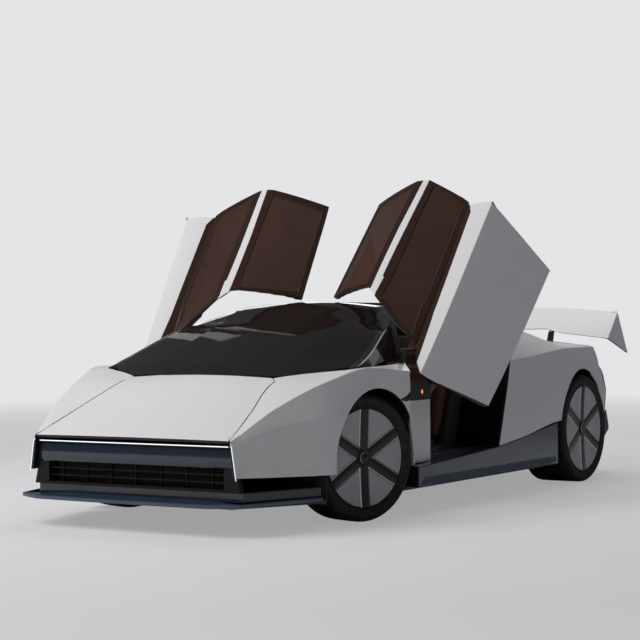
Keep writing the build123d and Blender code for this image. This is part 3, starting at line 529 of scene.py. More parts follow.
def lathe(bm, profile, steps, matrix, zone=None, close=False, start=0.0, sweep=2 * math.pi):
    """Turns a profile of (along, radius) points about the matrix's x axis, by a sweep or all the way."""
    whole = sweep > 2 * math.pi - 0.001
    rings = []
    for k in range(steps if whole else steps + 1):
        angle = start + sweep * k / steps
        rings.append([bm.verts.new(matrix @ Vector((a, r * math.cos(angle), r * math.sin(angle))))
                      for a, r in profile])
    if whole:
        rings.append(rings[0])
    else:
        for ring in (rings[0][::-1], rings[-1]):
            bm.faces.new(ring).material_index = zone(0, 0) if zone else 0
    for i, (near, far) in enumerate(zip(rings, rings[1:])):
        for j in range(len(profile) if close else len(profile) - 1):
            n = (j + 1) % len(profile)
            face = bm.faces.new((near[j], near[n], far[n], far[j]))
            face.material_index = zone(i, j) if zone else 0


def tidy(bm):
    """Merges doubled points and turns faces outward."""
    bmesh.ops.remove_doubles(bm, verts=bm.verts, dist=0.00002)
    bmesh.ops.recalc_face_normals(bm, faces=bm.faces)
    return bm


def flipped(bm):
    """Mirrors a bmesh across the car."""
    for v in bm.verts:
        v.co.x = -v.co.x
    bmesh.ops.reverse_faces(bm, faces=bm.faces)
    return bm


# ------------------------------------------------------------------ the smooth body surface
def ease(values, spots):
    """Slopes that carry a smooth curve through spots without overshoot."""
    steps = [b - a for a, b in zip(spots, spots[1:])]
    secants = [(b - a) / h for a, b, h in zip(values, values[1:], steps)]
    slopes = [secants[0]]
    for (s0, h0), (s1, h1) in zip(zip(secants, steps), list(zip(secants, steps))[1:]):
        if s0 * s1 <= 0:
            slopes.append(0.0)
        else:
            w0, w1 = 2 * h1 + h0, h1 + 2 * h0
            slopes.append((w0 + w1) / (w0 / s0 + w1 / s1))
    return slopes + [secants[-1]]


class Hull:
    """Faceted hull of a section table, and the smooth surface that goes through its corners."""

    def __init__(self, table, crown):
        self.crown = crown
        self.spots = [row[0] for row in table]
        self.rows = [[*row[1:-1], (0.0, row[-1])] for row in table]
        self.columns = len(self.rows[0])
        self.slopes = [[ease([row[k][axis] for row in self.rows], self.spots) for axis in (0, 1)]
                       for k in range(self.columns)]
        points, params, tris = [], [], []
        for s, (y, row) in enumerate(zip(self.spots, self.rows)):
            for k, (x, z) in enumerate(row):
                points.append(Vector((x, y, z)))
                params.append(Vector((k, s, 0)))
        for s in range(len(self.rows) - 1):
            for k in range(self.columns - 1):
                a, b = s * self.columns + k, s * self.columns + k + 1
                c, d = b + self.columns, a + self.columns
                reach = lambda p, q: (points[p].x / 2 + points[q].x / 2
                                      + (points[p].z + points[q].z) / 2)
                tris += [(a, b, c), (a, c, d)] if reach(a, c) > reach(b, d) else [(a, b, d), (b, c, d)]
        self.points, self.params, self.tris = points, params, tris
        self.tree = BVHTree.FromPolygons(points, tris, all_triangles=True)

    def column(self, k, v):
        """(x, z) of one corner line at a station parameter."""
        s = min(int(v), len(self.spots) - 2)
        t = v - s
        h = self.spots[s + 1] - self.spots[s]
        found = []
        for axis in (0, 1):
            a, b = self.rows[s][k][axis], self.rows[s + 1][k][axis]
            m0, m1 = self.slopes[k][axis][s] * h, self.slopes[k][axis][s + 1] * h
            found.append(a * (1 + 2 * t) * (1 - t) ** 2 + b * t * t * (3 - 2 * t)
                         + m0 * t * (1 - t) ** 2 - m1 * t * t * (1 - t))
        return Vector(found)

    def surface(self, u, v):
        """(x, z) of the smooth surface."""
        k = min(int(u), self.columns - 2)
        a = u - k
        first, second = self.column(k, v), self.column(k + 1, v)
        if k == self.columns - 2:
            return Vector((first.x * (1 - a), second.y - (second.y - first.y) * (1 - a) ** 2))
        across = second - first
        out = Vector((across.y, -across.x)).normalized()
        return first + across * a + out * (self.crown[k] * 4 * a * (1 - a))

    def where(self, point):
        """(distance, u, v, nearest point) of the hull for a point on the left half."""
        near, _, index, distance = self.tree.find_nearest(point)
        corners = self.tris[index]
        uv = barycentric_transform(near, *[self.points[i] for i in corners],
                                   *[self.params[i] for i in corners])
        u = min(max(uv.x, 0.0), self.columns - 1)
        v = min(max(uv.y, 0.0), len(self.spots) - 1)
        return distance, u, v, near


HULLS = {"body": Hull(BODY, BODY_CROWN), "house": Hull(HOUSE, HOUSE_CROWN), "tail": Hull(TAIL, TAIL_CROWN)}
SHARP_COLUMNS = {"body": (2, 3), "house": (1, 2), "tail": (2, 3, 4)}


def fade(distance):
    near, far = FADE_DEPTH
    return min(max((far - distance) / (far - near), 0.0), 1.0)


def eased_panel(node, hull_names, turn=None, zone=None, splits=()):
    """Copy of a CAD panel, cut into a grid and carried from the faceted hull to the smooth surface.

    turn brings a raised door to its shut place while it is shaped. splits are (point, normal)
    planes where one finish gives way to another, and zone(hull, u, v, middle, normal, depth)
    gives a face's material index.
    """
    bm = bmesh.new()
    bm.from_mesh(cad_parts[node].data)
    bmesh.ops.remove_doubles(bm, verts=bm.verts, dist=SAME_SPOT)
    if turn:
        bmesh.ops.transform(bm, matrix=turn, verts=bm.verts)
    bmesh.ops.dissolve_limit(bm, angle_limit=FLAT_ANGLE, verts=bm.verts, edges=bm.edges)
    planes = [(Vector(spot), Vector(normal)) for spot, normal in splits]
    for axis in range(3):
        low = min(v.co[axis] for v in bm.verts)
        high = max(v.co[axis] for v in bm.verts)
        count = max(int((high - low) / GRID), 1)
        normal = Vector([float(axis == i) for i in range(3)])
        planes += [(normal * (low + (high - low) * k / count), normal) for k in range(1, count)]
    for spot, normal in planes:
        bmesh.ops.bisect_plane(bm, geom=bm.verts[:] + bm.edges[:] + bm.faces[:], dist=CUT_SNAP,
                               plane_co=spot, plane_no=normal)
    bmesh.ops.remove_doubles(bm, verts=bm.verts, dist=CUT_MERGE)
    bmesh.ops.dissolve_degenerate(bm, edges=bm.edges, dist=SLIVER)
    found, moves = {}, []
    for v in bm.verts:
        side = -1.0 if v.co.x < 0 else 1.0
        flat = Vector((abs(v.co.x), v.co.y, v.co.z))
        best = None
        for name in hull_names:
            distance, u, w, near = HULLS[name].where(flat)
            if best is None or distance < best[0] - HULL_TIE:
                best = (distance, name, u, w, near)
        distance, name, u, w, near = best
        found[v.index] = (distance, name, u, w)
        goal = HULLS[name].surface(u, w)
        share = fade(distance)
        moves.append((v, Vector((side * (goal.x - near.x), 0.0, goal.y - near.z)) * share))
    for edge in bm.edges:
        first, second = (found[v.index] for v in edge.verts)
        if first[1] == second[1] and max(first[0], second[0]) < ON_SURFACE:
            column = round(first[2])
            if (column in SHARP_COLUMNS[first[1]] and abs(first[2] - column) < CREASE_NEAR
                    and abs(second[2] - column) < CREASE_NEAR):
                edge.smooth = False
    if zone:
        bm.normal_update()
        for face in bm.faces:
            middle = face.calc_center_median()
            flat = Vector((abs(middle.x), middle.y, middle.z))
            best = min(((*HULLS[name].where(flat), name) for name in hull_names), key=lambda b: b[0])
            # A face counts as deep as its deepest corner, so a panel's cut edges take the inner finish:
            # painted shade along the panel gaps.
            depth = max(found[v.index][0] for v in face.verts)
            face.material_index = zone(best[4], best[1], best[2], middle, face.normal, depth)
    for v, move in moves:
        v.co += move
    if turn:
        bmesh.ops.transform(bm, matrix=turn.inverted(), verts=bm.verts)
    return bm


def door_turn(side):
    """Matrix that brings a raised door (side 1 left, -1 right) down to shut."""
    axis = Vector((HINGE_AXIS.x, side * HINGE_AXIS.y, side * HINGE_AXIS.z))
    spot = Vector((side * HINGE_POINT.x, HINGE_POINT.y, HINGE_POINT.z))
    turn = Matrix.Rotation(-DOOR_OPEN, 4, axis)
    return Matrix.Translation(spot) @ turn @ Matrix.Translation(-spot)


# ------------------------------------------------------------------ body
SKIN_FACE = 0.013               # faces nearer the outside than this are the painted side; deeper faces, cut edges too, take the dark inner finish, painted shade along the panel gaps
FRAME_FACE = 0.022              # and the glossy side of the roof frame
JAMB_DEPTH, JAMB_FRONT = 0.030, -0.98    # depth and front y of the plate behind the front wing


# Outer faces take the outer finish; deeper faces, the cut edges too, take the inner one, on body panels a
# dark finish that paints shade along the panel gaps.
def painted(outer=0, inner=1):
    return lambda hull, u, v, middle, normal, depth: outer if depth < SKIN_FACE else inner


JAMB_TOP = 0.640                # above this the plate behind the front wing is dark, painted shade of the hinge recess
RAIL_SPOTS = ((0.558, -0.460), (0.522, 0.428))      # inner edge of the painted rail over the side glass
SHOULDER_SPOTS = ((0.917, -0.800), (0.862, 0.200), (0.817, 0.282))   # inner edge of the painted shoulder


def fender_zone(hull, u, v, middle, normal, depth):
    # Behind the wing the plate is body colour below JAMB_TOP and dark above it, painted shade of the hinge
    # recess.
    if depth > JAMB_DEPTH and middle.y > JAMB_FRONT:
        return 0 if middle.z < JAMB_TOP else 1
    # Deeper faces, the wing's cut edges too, take the dark inner finish: painted shade along the panel
    # gaps.
    return 0 if depth < SKIN_FACE else 1


def wall(first, second, side=1):
    """Upright plane through two plan points, facing outwards."""
    (x0, y0), (x1, y1) = first, second
    return Vector((side * x0, y0, 0)), Vector((side * (y1 - y0), x0 - x1, 0)).normalized()


def inside_wall(middle, first, second):
    spot, normal = wall(first, second)
    return (Vector((abs(middle.x), middle.y, 0)) - spot).dot(normal) < 0


def door_zone(hull, u, v, middle, normal, depth):
    # Inner faces are suede lining; the door's cut edges take it too, painted shade along the panel gaps.
    if depth > SKIN_FACE:
        return 3
    if hull == "house":
        return 1 if u < 0.985 else 2 if inside_wall(middle, *RAIL_SPOTS) else 0
    bronze = (u > 1.9 and inside_wall(middle, *SHOULDER_SPOTS[:2])
              and inside_wall(middle, *SHOULDER_SPOTS[1:]))
    return 1 if bronze else 0


def door_splits(side):
    """Planes where the door changes finish."""
    pairs = (RAIL_SPOTS, SHOULDER_SPOTS[:2], SHOULDER_SPOTS[1:])
    return [wall(first, second, side) for first, second in pairs]


def frame_zone(hull, u, v, middle, normal, depth):
    """Gloss outside, suede inside."""
    return 0 if depth < FRAME_FACE else 1


def pane_zone(hull, u, v, middle, normal, depth):
    return 0 if u < 1.5 else 1


PANELS = (
    # node, hulls, body, zone, finishes, slot
    ("bonnet", ("body",), "bonnet", painted(), ("pearl", "moulded"), "body_paint"),
    ("left_front_fender", ("body",), "body", fender_zone, ("pearl", "moulded"), "fender_paint"),
    ("right_front_fender", ("body",), "body", fender_zone, ("pearl", "moulded"), "fender_paint"),
    ("left_rear_quarter", ("tail",), "body", painted(), ("pearl", "moulded"), "fender_paint"),
    ("right_rear_quarter", ("tail",), "body", painted(), ("pearl", "moulded"), "fender_paint"),
    ("engine_cover", ("tail",), "engine_cover", painted(), ("black", "moulded"), "dark_gloss"),
    ("tail_panel", ("tail",), "body", painted(), ("ink", "moulded"), "dark_gloss"),
    ("roof_frame", ("house", "tail"), "body", frame_zone, ("black", "suede"), "dark_gloss"),
    ("windscreen", ("house",), "body", painted(0, 0), ("screen",), "screen_glass"),
)


class SUPERCAR_OT_body_panels(bpy.types.Operator):
    """Body, roof and tail panels with smooth crowned surfaces and rounded seams"""
    bl_idname = "supercar.body_panels"
    bl_label = "Body panels"

    def execute(self, context):
        for node, hulls, body, zone, keys, slot in PANELS:
            splits = ((Vector((0, 0, JAMB_TOP)), Vector((0, 0, 1))),) if zone is fender_zone else ()
            bm = eased_panel(node, hulls, zone=zone, splits=splits)
            obj = new_object(node + "_panel", bm, keys)
            rounded(obj, 0.0012 if node == "windscreen" else SEAM)
            place(obj, body, (node,))
        place(even_shading(new_object("pillar_strips", pillar_strips(), ("edge",))), "body", ())
        return {"FINISHED"}


PILLAR_STRIP = (-1.335, -0.800, 0.0035)     # front y, rear y and half width of the bright pillar line


def pillar_strips():
    """Thin bright line up each windscreen pillar."""
    bm, house = bmesh.new(), HULLS["house"]
    first, last, half = PILLAR_STRIP
    for side in (-1, 1):
        rings = []
        for k in range(25):
            y = first + (last - first) * k / 24
            s = max(i for i, spot in enumerate(house.spots) if spot <= y)
            v = s + (y - house.spots[s]) / (house.spots[s + 1] - house.spots[s])
            x, z = house.column(1, v)
            grow = min(k / 3, (24 - k) / 3, 1.0)
            rings.append([Vector((side * (x + dx * grow), y, z + dz * grow)) for dx, dz in (
                (half, -half * 0.6), (half * 0.9, half * 0.5), (-half * 0.4, half * 1.5), (-half, half))])
        skin(bm, rings)
    return tidy(bm)


class SUPERCAR_OT_doors(bpy.types.Operator):
    """Raised doors with flush bronze glass and suede inner faces"""
    bl_idname = "supercar.doors"
    bl_label = "Doors"

    def execute(self, context):
        for side, name in ((1, "left"), (-1, "right")):
            turn = door_turn(side)
            body = f"{name}_door"
            bm = eased_panel(f"{name}_door", ("body", "house"), turn, zone=door_zone,
                             splits=door_splits(side))
            shell = new_object(f"{name}_door_shell", bm, ("pearl", "frit_bronze", "frit_bronze", "suede"))
            place(rounded(shell), body, (f"{name}_door",))
            bm = eased_panel(f"{name}_door_glass", ("house",), turn, zone=pane_zone)
            panes = new_object(f"{name}_door_panes", bm, ("side_glass", "bronze"))
            place(rounded(panes, 0.0010), body, (f"{name}_door_glass",))
        return {"FINISHED"}


# ------------------------------------------------------------------ wheels
# Tyre radius, rim edge radius, width, the face's distance from the placing point, that point, turn.
CORNERS = {
    "front": (0.349, 0.276, 0.245, 0.120, (0.803, -1.305, 0.349), STEER_REST),
    "rear": (0.361, 0.290, 0.325, 0.0, (0.990, 1.395, 0.361), 0.0),
}
SECTOR = math.radians(180 / SPOKES)     # half of one spoke's share of the wheel
SPOKE_BACK = -0.034
LIP_DEPTH = -0.0075                     # the wheel's face at its edge, behind the tyre's side
HUB_DEPTH = -0.0200                     # and at its centre
DISC_R = 0.195
CALIPER_R = (0.150, 0.228)
CALIPER_REACH = math.radians(58)


def wheel_place(end, side):
    """Matrix from (outward from the wheel's face, y, z) about the axle to the car."""
    spot, steer = CORNERS[end][4:]
    return (Matrix.Translation((side * spot[0], spot[1], spot[2])) @ Matrix.Rotation(steer, 4, "Z")
            @ Matrix.Diagonal((side, 1, 1, 1)) @ Matrix.Translation((CORNERS[end][3], 0, 0)))


def tyre_profile(radius, rim_r, width):
    """(outward, radius, depth of a tread notch there) round a tyre's section."""
    shoulder = radius - 0.030
    half = [
        (-0.0120, rim_r - 0.001, 0), (-0.0070, rim_r + 0.001, 0), (-0.0045, rim_r + 0.005, 0),
        (-0.0042, rim_r + 0.010, 0), (-0.0020, rim_r + 0.0115, 0), (-0.0020, rim_r + 0.0140, 0),
        (-0.0036, rim_r + 0.0155, 0), (-0.0020, shoulder - 0.014, 0), (0.0002, shoulder - 0.004, 0),
        (0.0016, shoulder, 0), (0.0016, shoulder + 0.003, 0), (-0.0004, shoulder + 0.005, 0),
        (-0.0016, shoulder + 0.011, 0.002), (-0.0058, radius - 0.0135, 0.004),
        (-0.0125, radius - 0.0070, 0.005),
        (-0.0205, radius - 0.0030, 0.006), (-0.0300, radius - 0.0014, 0.006),
    ]
    low, high = -width + 0.032, -0.032
    tread = []
    grooves = 4
    for k in range(grooves):
        middle = high + (low - high) * (k + 0.5) / grooves
        for off, cut in ((0.0050, 0.0), (0.0038, 1.0), (-0.0038, 1.0), (-0.0050, 0.0)):
            crown = 0.0012 * ((middle + off + width / 2) / (width / 2)) ** 2
            tread.append((middle + off, radius - crown - cut * sizes().groove, 0))
    inner = [(-width - a, r, notch) for a, r, notch in reversed(half)]
    return half + tread + inner


def tyre_mesh(end, side):
    radius, rim_r, width = CORNERS[end][:3]
    profile = tyre_profile(radius, rim_r, width)
    bm, matrix, rings = bmesh.new(), wheel_place(end, side), []
    blocks = sizes().tread_blocks
    for k in range(blocks):
        for share, low in ((0.0, 0), (0.80, 0), (0.83, 1), (0.97, 1)):
            angle = 2 * math.pi * (k + share) / blocks
            rings.append([bm.verts.new(matrix @ Vector((a, (r - low * notch) * math.cos(angle),
                                                        (r - low * notch) * math.sin(angle))))
                          for a, r, notch in profile])
    rings.append(rings[0])
    add_ring_faces(bm, rings, caps=False)
    return tidy(bm)


def face_depth(r, rim_r):
    """How far a point of the wheel's dished face lies behind the tyre's side."""
    return HUB_DEPTH + (LIP_DEPTH - HUB_DEPTH) * (r / rim_r) ** 2


def add_spoke(bm, matrix, direction, rim_r, end_r):
    """One spoke with bright chamfers that meet its neighbours' in V's."""
    half, line = sizes().spoke_width / 2, sizes().edge_line
    across = [-half - line, -half, -half * 0.5, 0.0, half * 0.5, half, half + line]
    drop = [-0.0042, 0.0, 0.0002, 0.0016, 0.0002, 0.0, -0.0042]
    rings = []
    for share in (0.0, 0.06, 0.20, 0.40, 0.60, 0.80, 1.0):
        ring = []
        for w, low in [*zip(across, drop), (half + line, None), (-half - line, None)]:
            start, stop = abs(w) / math.tan(SECTOR), math.sqrt(end_r ** 2 - w ** 2)
            x = start + (stop - start) * share
            a = SPOKE_BACK if low is None else face_depth(math.hypot(x, w), rim_r) + low
            ring.append(matrix @ Vector((a, x * math.cos(direction) - w * math.sin(direction),
                                         x * math.sin(direction) + w * math.cos(direction))))
        rings.append(ring)
    skin(bm, rings, zone=lambda i, j: 1 if j in (0, 5) and i >= 0 else 0)


def add_infill(bm, matrix, direction, rim_r, end_r):
    """Satin plate between two spokes, a little below them."""
    gap = sizes().spoke_width / 2 + sizes().edge_line + 0.0030
    first_r = gap / math.sin(SECTOR) + 0.003
    rings = []
    for share in (0.0, 0.06, 0.18, 0.36, 0.54, 0.72, 0.88, 1.0):
        r = first_r + (end_r - first_r) * share
        reach = SECTOR - math.asin(gap / r)
        top, under = [], []
        for k in range(9):
            t = k / 4 - 1
            angle = direction + reach * t
            spot = (r * math.cos(angle), r * math.sin(angle))
            a = face_depth(r, rim_r) - 0.0028 + 0.0014 * (1 - t * t) * min(share * 4, 1)
            top.append(matrix @ Vector((a, *spot)))
            under.append(matrix @ Vector((a - 0.010, *spot)))
        rings.append(top + under[::-1])
    skin(bm, rings, zone=lambda i, j: 2)


def rim_mesh(end, side):
    """Wheel: six spokes, infills, lip and barrel, web, cap and the brake disc behind."""
    _, rim_r, width = CORNERS[end][:3]
    bm, matrix = bmesh.new(), wheel_place(end, side)
    plate_r = rim_r - 0.0095
    for k in range(SPOKES):
        direction = math.pi / 2 + 2 * SECTOR * k
        add_spoke(bm, matrix, direction, rim_r, plate_r + 0.002)
        add_infill(bm, matrix, direction + SECTOR, rim_r, plate_r)
    barrel = (
        (-0.0060, rim_r - 0.0003), (-0.0036, rim_r - 0.0012), (-0.0036, rim_r - 0.0032),
        (-0.0075, rim_r - 0.0060),
        (-0.0260, rim_r - 0.0070), (-0.0300, rim_r - 0.0240), (-0.0700, rim_r - 0.0380),
        (-width + 0.060, rim_r - 0.0400),
        (-width + 0.028, rim_r - 0.0260), (-width + 0.012, rim_r - 0.0090),
        (-width + 0.008, rim_r - 0.0020),
        (-width + 0.008, rim_r - 0.0003),
    )
    lathe(bm, barrel, 96, matrix, close=True)
    lathe(bm, ((-0.030, 0.0), (-0.034, 0.070), (-0.092, 0.070), (-0.092, 0.139), (-0.102, 0.139),
               (-0.102, 0.0)),
          72, matrix)
    cap = ((-0.0210, 0.044), (-0.0145, 0.043), (-0.0125, 0.0405), (-0.0140, 0.0330), (-0.0105, 0.0315),
           (-0.0085, 0.0290), (-0.0095, 0.0220), (-0.0080, 0.0120), (-0.0078, 0.0))
    lathe(bm, cap, 48, matrix, zone=lambda i, j: 1 if j == 3 else 0)
    for k in range(SPOKES):
        angle = math.pi / 2 + SECTOR * (2 * k + 1)
        spot = Vector((0, 0.112 * math.cos(angle), 0.112 * math.sin(angle)))
        lathe(bm, ((-0.090, 0.011), (-0.080, 0.0105), (-0.0785, 0.009), (-0.0785, 0.0)), 6,
              matrix @ Matrix.Translation(spot), zone=lambda i, j: 1)
    disc = ((-0.070, 0.122), (-0.070, DISC_R), (-0.076, DISC_R), (-0.076, DISC_R - 0.006),
            (-0.088, DISC_R - 0.006),
            (-0.088, DISC_R), (-0.094, DISC_R), (-0.094, 0.122))
    lathe(bm, disc, 96, matrix, zone=lambda i, j: 3, close=True)
    return tidy(bm)


def caliper_mesh(end, side):
    """Six-piston caliper round the disc, with its bracket."""
    bm, matrix = bmesh.new(), wheel_place(end, side)
    low, high = CALIPER_R
    jaw = ((-0.128, low), (-0.098, low), (-0.098, DISC_R + 0.005), (-0.066, DISC_R + 0.005), (-0.066, low),
           (-0.050, low), (-0.046, low + 0.012), (-0.046, high - 0.014), (-0.052, high), (-0.122, high),
           (-0.128, high - 0.010))
    lathe(bm, jaw, 24, matrix, close=True, start=-CALIPER_REACH / 2, sweep=CALIPER_REACH)
    bracket = ((-0.166, 0.036), (-0.150, 0.182), (-0.127, 0.182), (-0.127, 0.160), (-0.146, 0.036))
    lathe(bm, bracket, 12, matrix, zone=lambda i, j: 1, close=True, start=-CALIPER_REACH / 4,
          sweep=CALIPER_REACH / 2)
    for k in range(3):
        angle = CALIPER_REACH * (k - 1) * 0.29
        spot = Vector((0, 0.190 * math.cos(angle), 0.190 * math.sin(angle)))
        piston = ((-0.048, 0.019), (-0.043, 0.0175), (-0.041, 0.015), (-0.041, 0.0))
        lathe(bm, piston, 24, matrix @ Matrix.Translation(spot))
    return tidy(bm)


class SUPERCAR_OT_wheels(bpy.types.Operator):
    """Tyres with grooved tread, six-spoke wheels with flush infills, discs and calipers"""
    bl_idname = "supercar.wheels"
    bl_label = "Wheels"

    def execute(self, context):
        for end in CORNERS:
            for side, name in ((1, "left"), (-1, "right")):
                body = f"{end}_{name}_wheel"
                tread = new_object(f"{end}_{name}_tread", tyre_mesh(end, side), ("rubber",))
                place(tread, body, (f"{end}_{name}_tyre",))
                even_shading(tread)
                wheel = new_object(f"{end}_{name}_alloy", rim_mesh(end, side),
                                   ("wheel_black", "edge", "satin", "disc"))
                place(rounded(wheel, 0.0007, 1), body, (f"{end}_{name}_rim",))
                brake = new_object(f"{end}_{name}_caliper", caliper_mesh(end, side), ("caliper", "steel"))
                place(rounded(brake, 0.0025), f"{name}_steering" if end == "front" else "body", ())
        return {"FINISHED"}


# ------------------------------------------------------------------ copies of CAD pieces
def cut_copy(node, cuts=(), zone=None):
    """Copy of a CAD node's mesh, split along planes so that its parts can differ in finish.

    cuts is a list of (axis, distance); zone(middle, normal) gives a face's material index.
    """
    bm = bmesh.new()
    bm.from_mesh(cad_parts[node].data)
    bmesh.ops.remove_doubles(bm, verts=bm.verts, dist=SAME_SPOT)
    bmesh.ops.dissolve_limit(bm, angle_limit=FLAT_ANGLE, verts=bm.verts, edges=bm.edges)
    for axis, distance in cuts:
        normal = Vector([float(axis == i) for i in range(3)])
        bmesh.ops.bisect_plane(bm, geom=bm.verts[:] + bm.edges[:] + bm.faces[:], dist=0.0002,
                               plane_co=normal * distance, plane_no=normal)
    bm.normal_update()
    for face in bm.faces:
        face.material_index = zone(face.calc_center_median(), face.normal) if zone else 0
    return bm


def even_shading(obj):
    """Marks the hard edges of a smooth piece."""
    obj.data.set_sharp_from_angle(angle=CREASE_ANGLE)
    return obj


def dress(node, key, width=0.003):
    """Finish and rounded edges for a CAD piece that shows as it is."""
    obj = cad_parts[node]
    obj.data.materials.clear()
    obj.data.materials.append(finish(key))
    rounded(obj, width)


def skin_of(obj):
    """Search tree of a piece's own mesh."""
    mesh = obj.data
    return BVHTree.FromPolygons([v.co for v in mesh.vertices], [tuple(p.vertices) for p in mesh.polygons])


def onto(tree, start, direction, lift=0.0):
    """Where a ray meets a piece, raised off it by lift; its nearest point if it misses."""
    spot, normal, _, _ = tree.ray_cast(Vector(start), Vector(direction))
    if spot is None:
        spot, normal, _, _ = tree.find_nearest(Vector(start))
    if normal.dot(Vector(direction)) > 0:
        normal = -normal
    return spot + normal * lift


def ribbon(bm, spots, outs, width, thickness, zone=0):
    """Flat strap through spots; outs are the directions it faces."""
    rings = []
    for k, (spot, out) in enumerate(zip(spots, outs)):
        along = (spots[min(k + 1, len(spots) - 1)] - spots[max(k - 1, 0)]).normalized()
        out = (out - along * out.dot(along)).normalized()
        across = along.cross(out) * width / 2
        rings.append([spot - across, spot - across * 0.8 + out * thickness,
                      spot + across * 0.8 + out * thickness,
                      spot + across, spot + across * 0.8 - out * thickness * 0.3,
                      spot - across * 0.8 - out * thickness * 0.3])
    skin(bm, rings, zone=lambda i, j: zone)


def bar(bm, start, stop, radius, steps=12, zone=0):
    """Rounded rod between two points."""
    along = Vector(stop) - Vector(start)
    length = along.length
    matrix = Matrix.Translation(Vector(start)) @ along.to_track_quat("X", "Z").to_matrix().to_4x4()
    profile = [(0.0, 0.0), (0.0, radius * 0.8), (radius * 0.25, radius), (length / 2, radius),
               (length - radius * 0.25, radius), (length, radius * 0.8), (length, 0.0)]
    lathe(bm, profile, steps, matrix, zone=lambda i, j: zone)


def bolt(bm, spot, out, size=0.008, zone=0):
    """Flanged six-sided bolt head."""
    matrix = Matrix.Translation(Vector(spot)) @ Vector(out).to_track_quat("X", "Z").to_matrix().to_4x4()
    lathe(bm, ((0.0, size * 1.35), (size * 0.25, size * 1.25), (size * 0.3, size * 0.9)), 18, matrix,
          zone=lambda i, j: zone)
    lathe(bm, ((size * 0.2, size), (size * 0.85, size), (size, size * 0.8), (size, 0.0)), 6, matrix,
          zone=lambda i, j: zone)


def slab(bm, low, high, zone=0, lean=0.0):
    """Block with a softened front and a slight lean, for louvres and ribs."""
    (x0, y0, z0), (x1, y1, z1) = low, high
    rim = min(x1 - x0, y1 - y0, z1 - z0) * 0.25
    rings = []
    for z, inset in ((z0, rim), (z0 + rim, 0.0), (z1 - rim, 0.0), (z1, rim)):
        shift = lean * (z - z0)
        rings.append([Vector((x0 + inset, y0 + inset + shift, z)),
                      Vector((x1 - inset, y0 + inset + shift, z)),
                      Vector((x1 - inset, y1 - inset + shift, z)),
                      Vector((x0 + inset, y1 - inset + shift, z))])
    skin(bm, rings, zone=lambda i, j: zone)


# ------------------------------------------------------------------ nose
BAND_LOW = 0.345                # below this the nose plate is near black, painted shade of the opening
OPENING = (0.590, 0.235, 0.345)  # half width, low and high z of the air intake


def fascia_reach(z):
    """Half width of the nose plate at a height."""
    return 0.690 - (z - 0.222) * 0.05 / 0.244


def nose_blade():
    """Crowned gloss blade over the upper part of the nose plate."""
    bm = bmesh.new()
    section = ((-2.2150, 0.3460), (-2.2185, 0.3480), (-2.2215, 0.3560), (-2.2245, 0.3800),
               (-2.2250, 0.4050),
               (-2.2230, 0.4300), (-2.2200, 0.4430), (-2.2175, 0.4480), (-2.2150, 0.4490))
    rings = []
    for k in range(33):
        share = k / 16 - 1
        pull = 0.0035 * share ** 8
        rings.append([Vector((share * (fascia_reach(z) - 0.001), y + pull * (y < -2.2151), z)) for y,
                      z in section])
    skin(bm, rings)
    return tidy(bm)


def intake_mesh():
    """Duct and corrugated core behind the intake, and its upright fins, near black: painted shade of the
    opening.
    """
    bm = bmesh.new()
    half, low, high = OPENING
    wall = 0.012
    rings = []
    for y, grow in ((-2.1745, 0.0), (-2.1745, wall), (-2.120, wall), (-2.120, 0.0)):
        rings.append([bm.verts.new(p) for p in (
            (-half - grow, y, low - grow), (half + grow, y, low - grow),
            (half + grow, y, high + grow), (-half - grow, y, high + grow))])
    add_ring_faces(bm, rings + [rings[0]], caps=False)
    folds = 150
    front, back = [], []
    for k in range(folds + 1):
        x = -half + 2 * half * k / folds
        front.append((x, -2.132 + 0.007 * (k % 2)))
        back.append((x, -2.128 + 0.007 * (k % 2)))
    prism(bm, front + back[::-1], low, high, lambda x, y, z: Vector((x, y, z)), 1)
    for k in range(-3, 4):
        x = k * half / 3.5
        slab(bm, (x - 0.0022, -2.196, low + 0.001), (x + 0.0022, -2.178, high - 0.001), 0)
    return tidy(bm)


def lens_and_painted_highlights():
    """Lens along the bonnet's edge, and thin glowing strips down the nose's corners that paint the
    highlight along the front wings' edges.
    """
    bm = bmesh.new()
    section = ((-2.2153, 0.4532), (-2.2330, 0.4532), (-2.2362, 0.4565), (-2.2370, 0.4590),
               (-2.2362, 0.4615),
               (-2.2330, 0.4648), (-2.2153, 0.4648))
    xs = [-0.6395, -0.636, *[k * 0.03 for k in range(-21, 22)], 0.636, 0.6395]
    skin(bm, [[Vector((x, y, z)) for y, z in section] for x in xs],
         zone=lambda i, j: 0 if 0 < i < len(xs) - 2 and j in (2, 3) else 1)
    # Thin glowing strips down the nose's corners: painted highlight along the front wings' edges.
    for side in (-1, 1):
        rings = []
        for share in (0.0, 0.03, 0.25, 0.5, 0.75, 0.97, 1.0):
            z = 0.462 + (0.288 - 0.462) * share
            x = side * (0.6655 + (0.6925 - 0.6655) * share)
            thick = 0.0014 if 0 < share < 1 else 0.0008
            rings.append([Vector((x - side * thick, -2.2500, z)), Vector((x - side * thick, -2.2530, z)),
                          Vector((x, -2.2545, z)), Vector((x + side * thick, -2.2530, z)),
                          Vector((x + side * thick, -2.2500, z))])
        skin(bm, rings, zone=lambda i, j: 0)
    return tidy(bm)


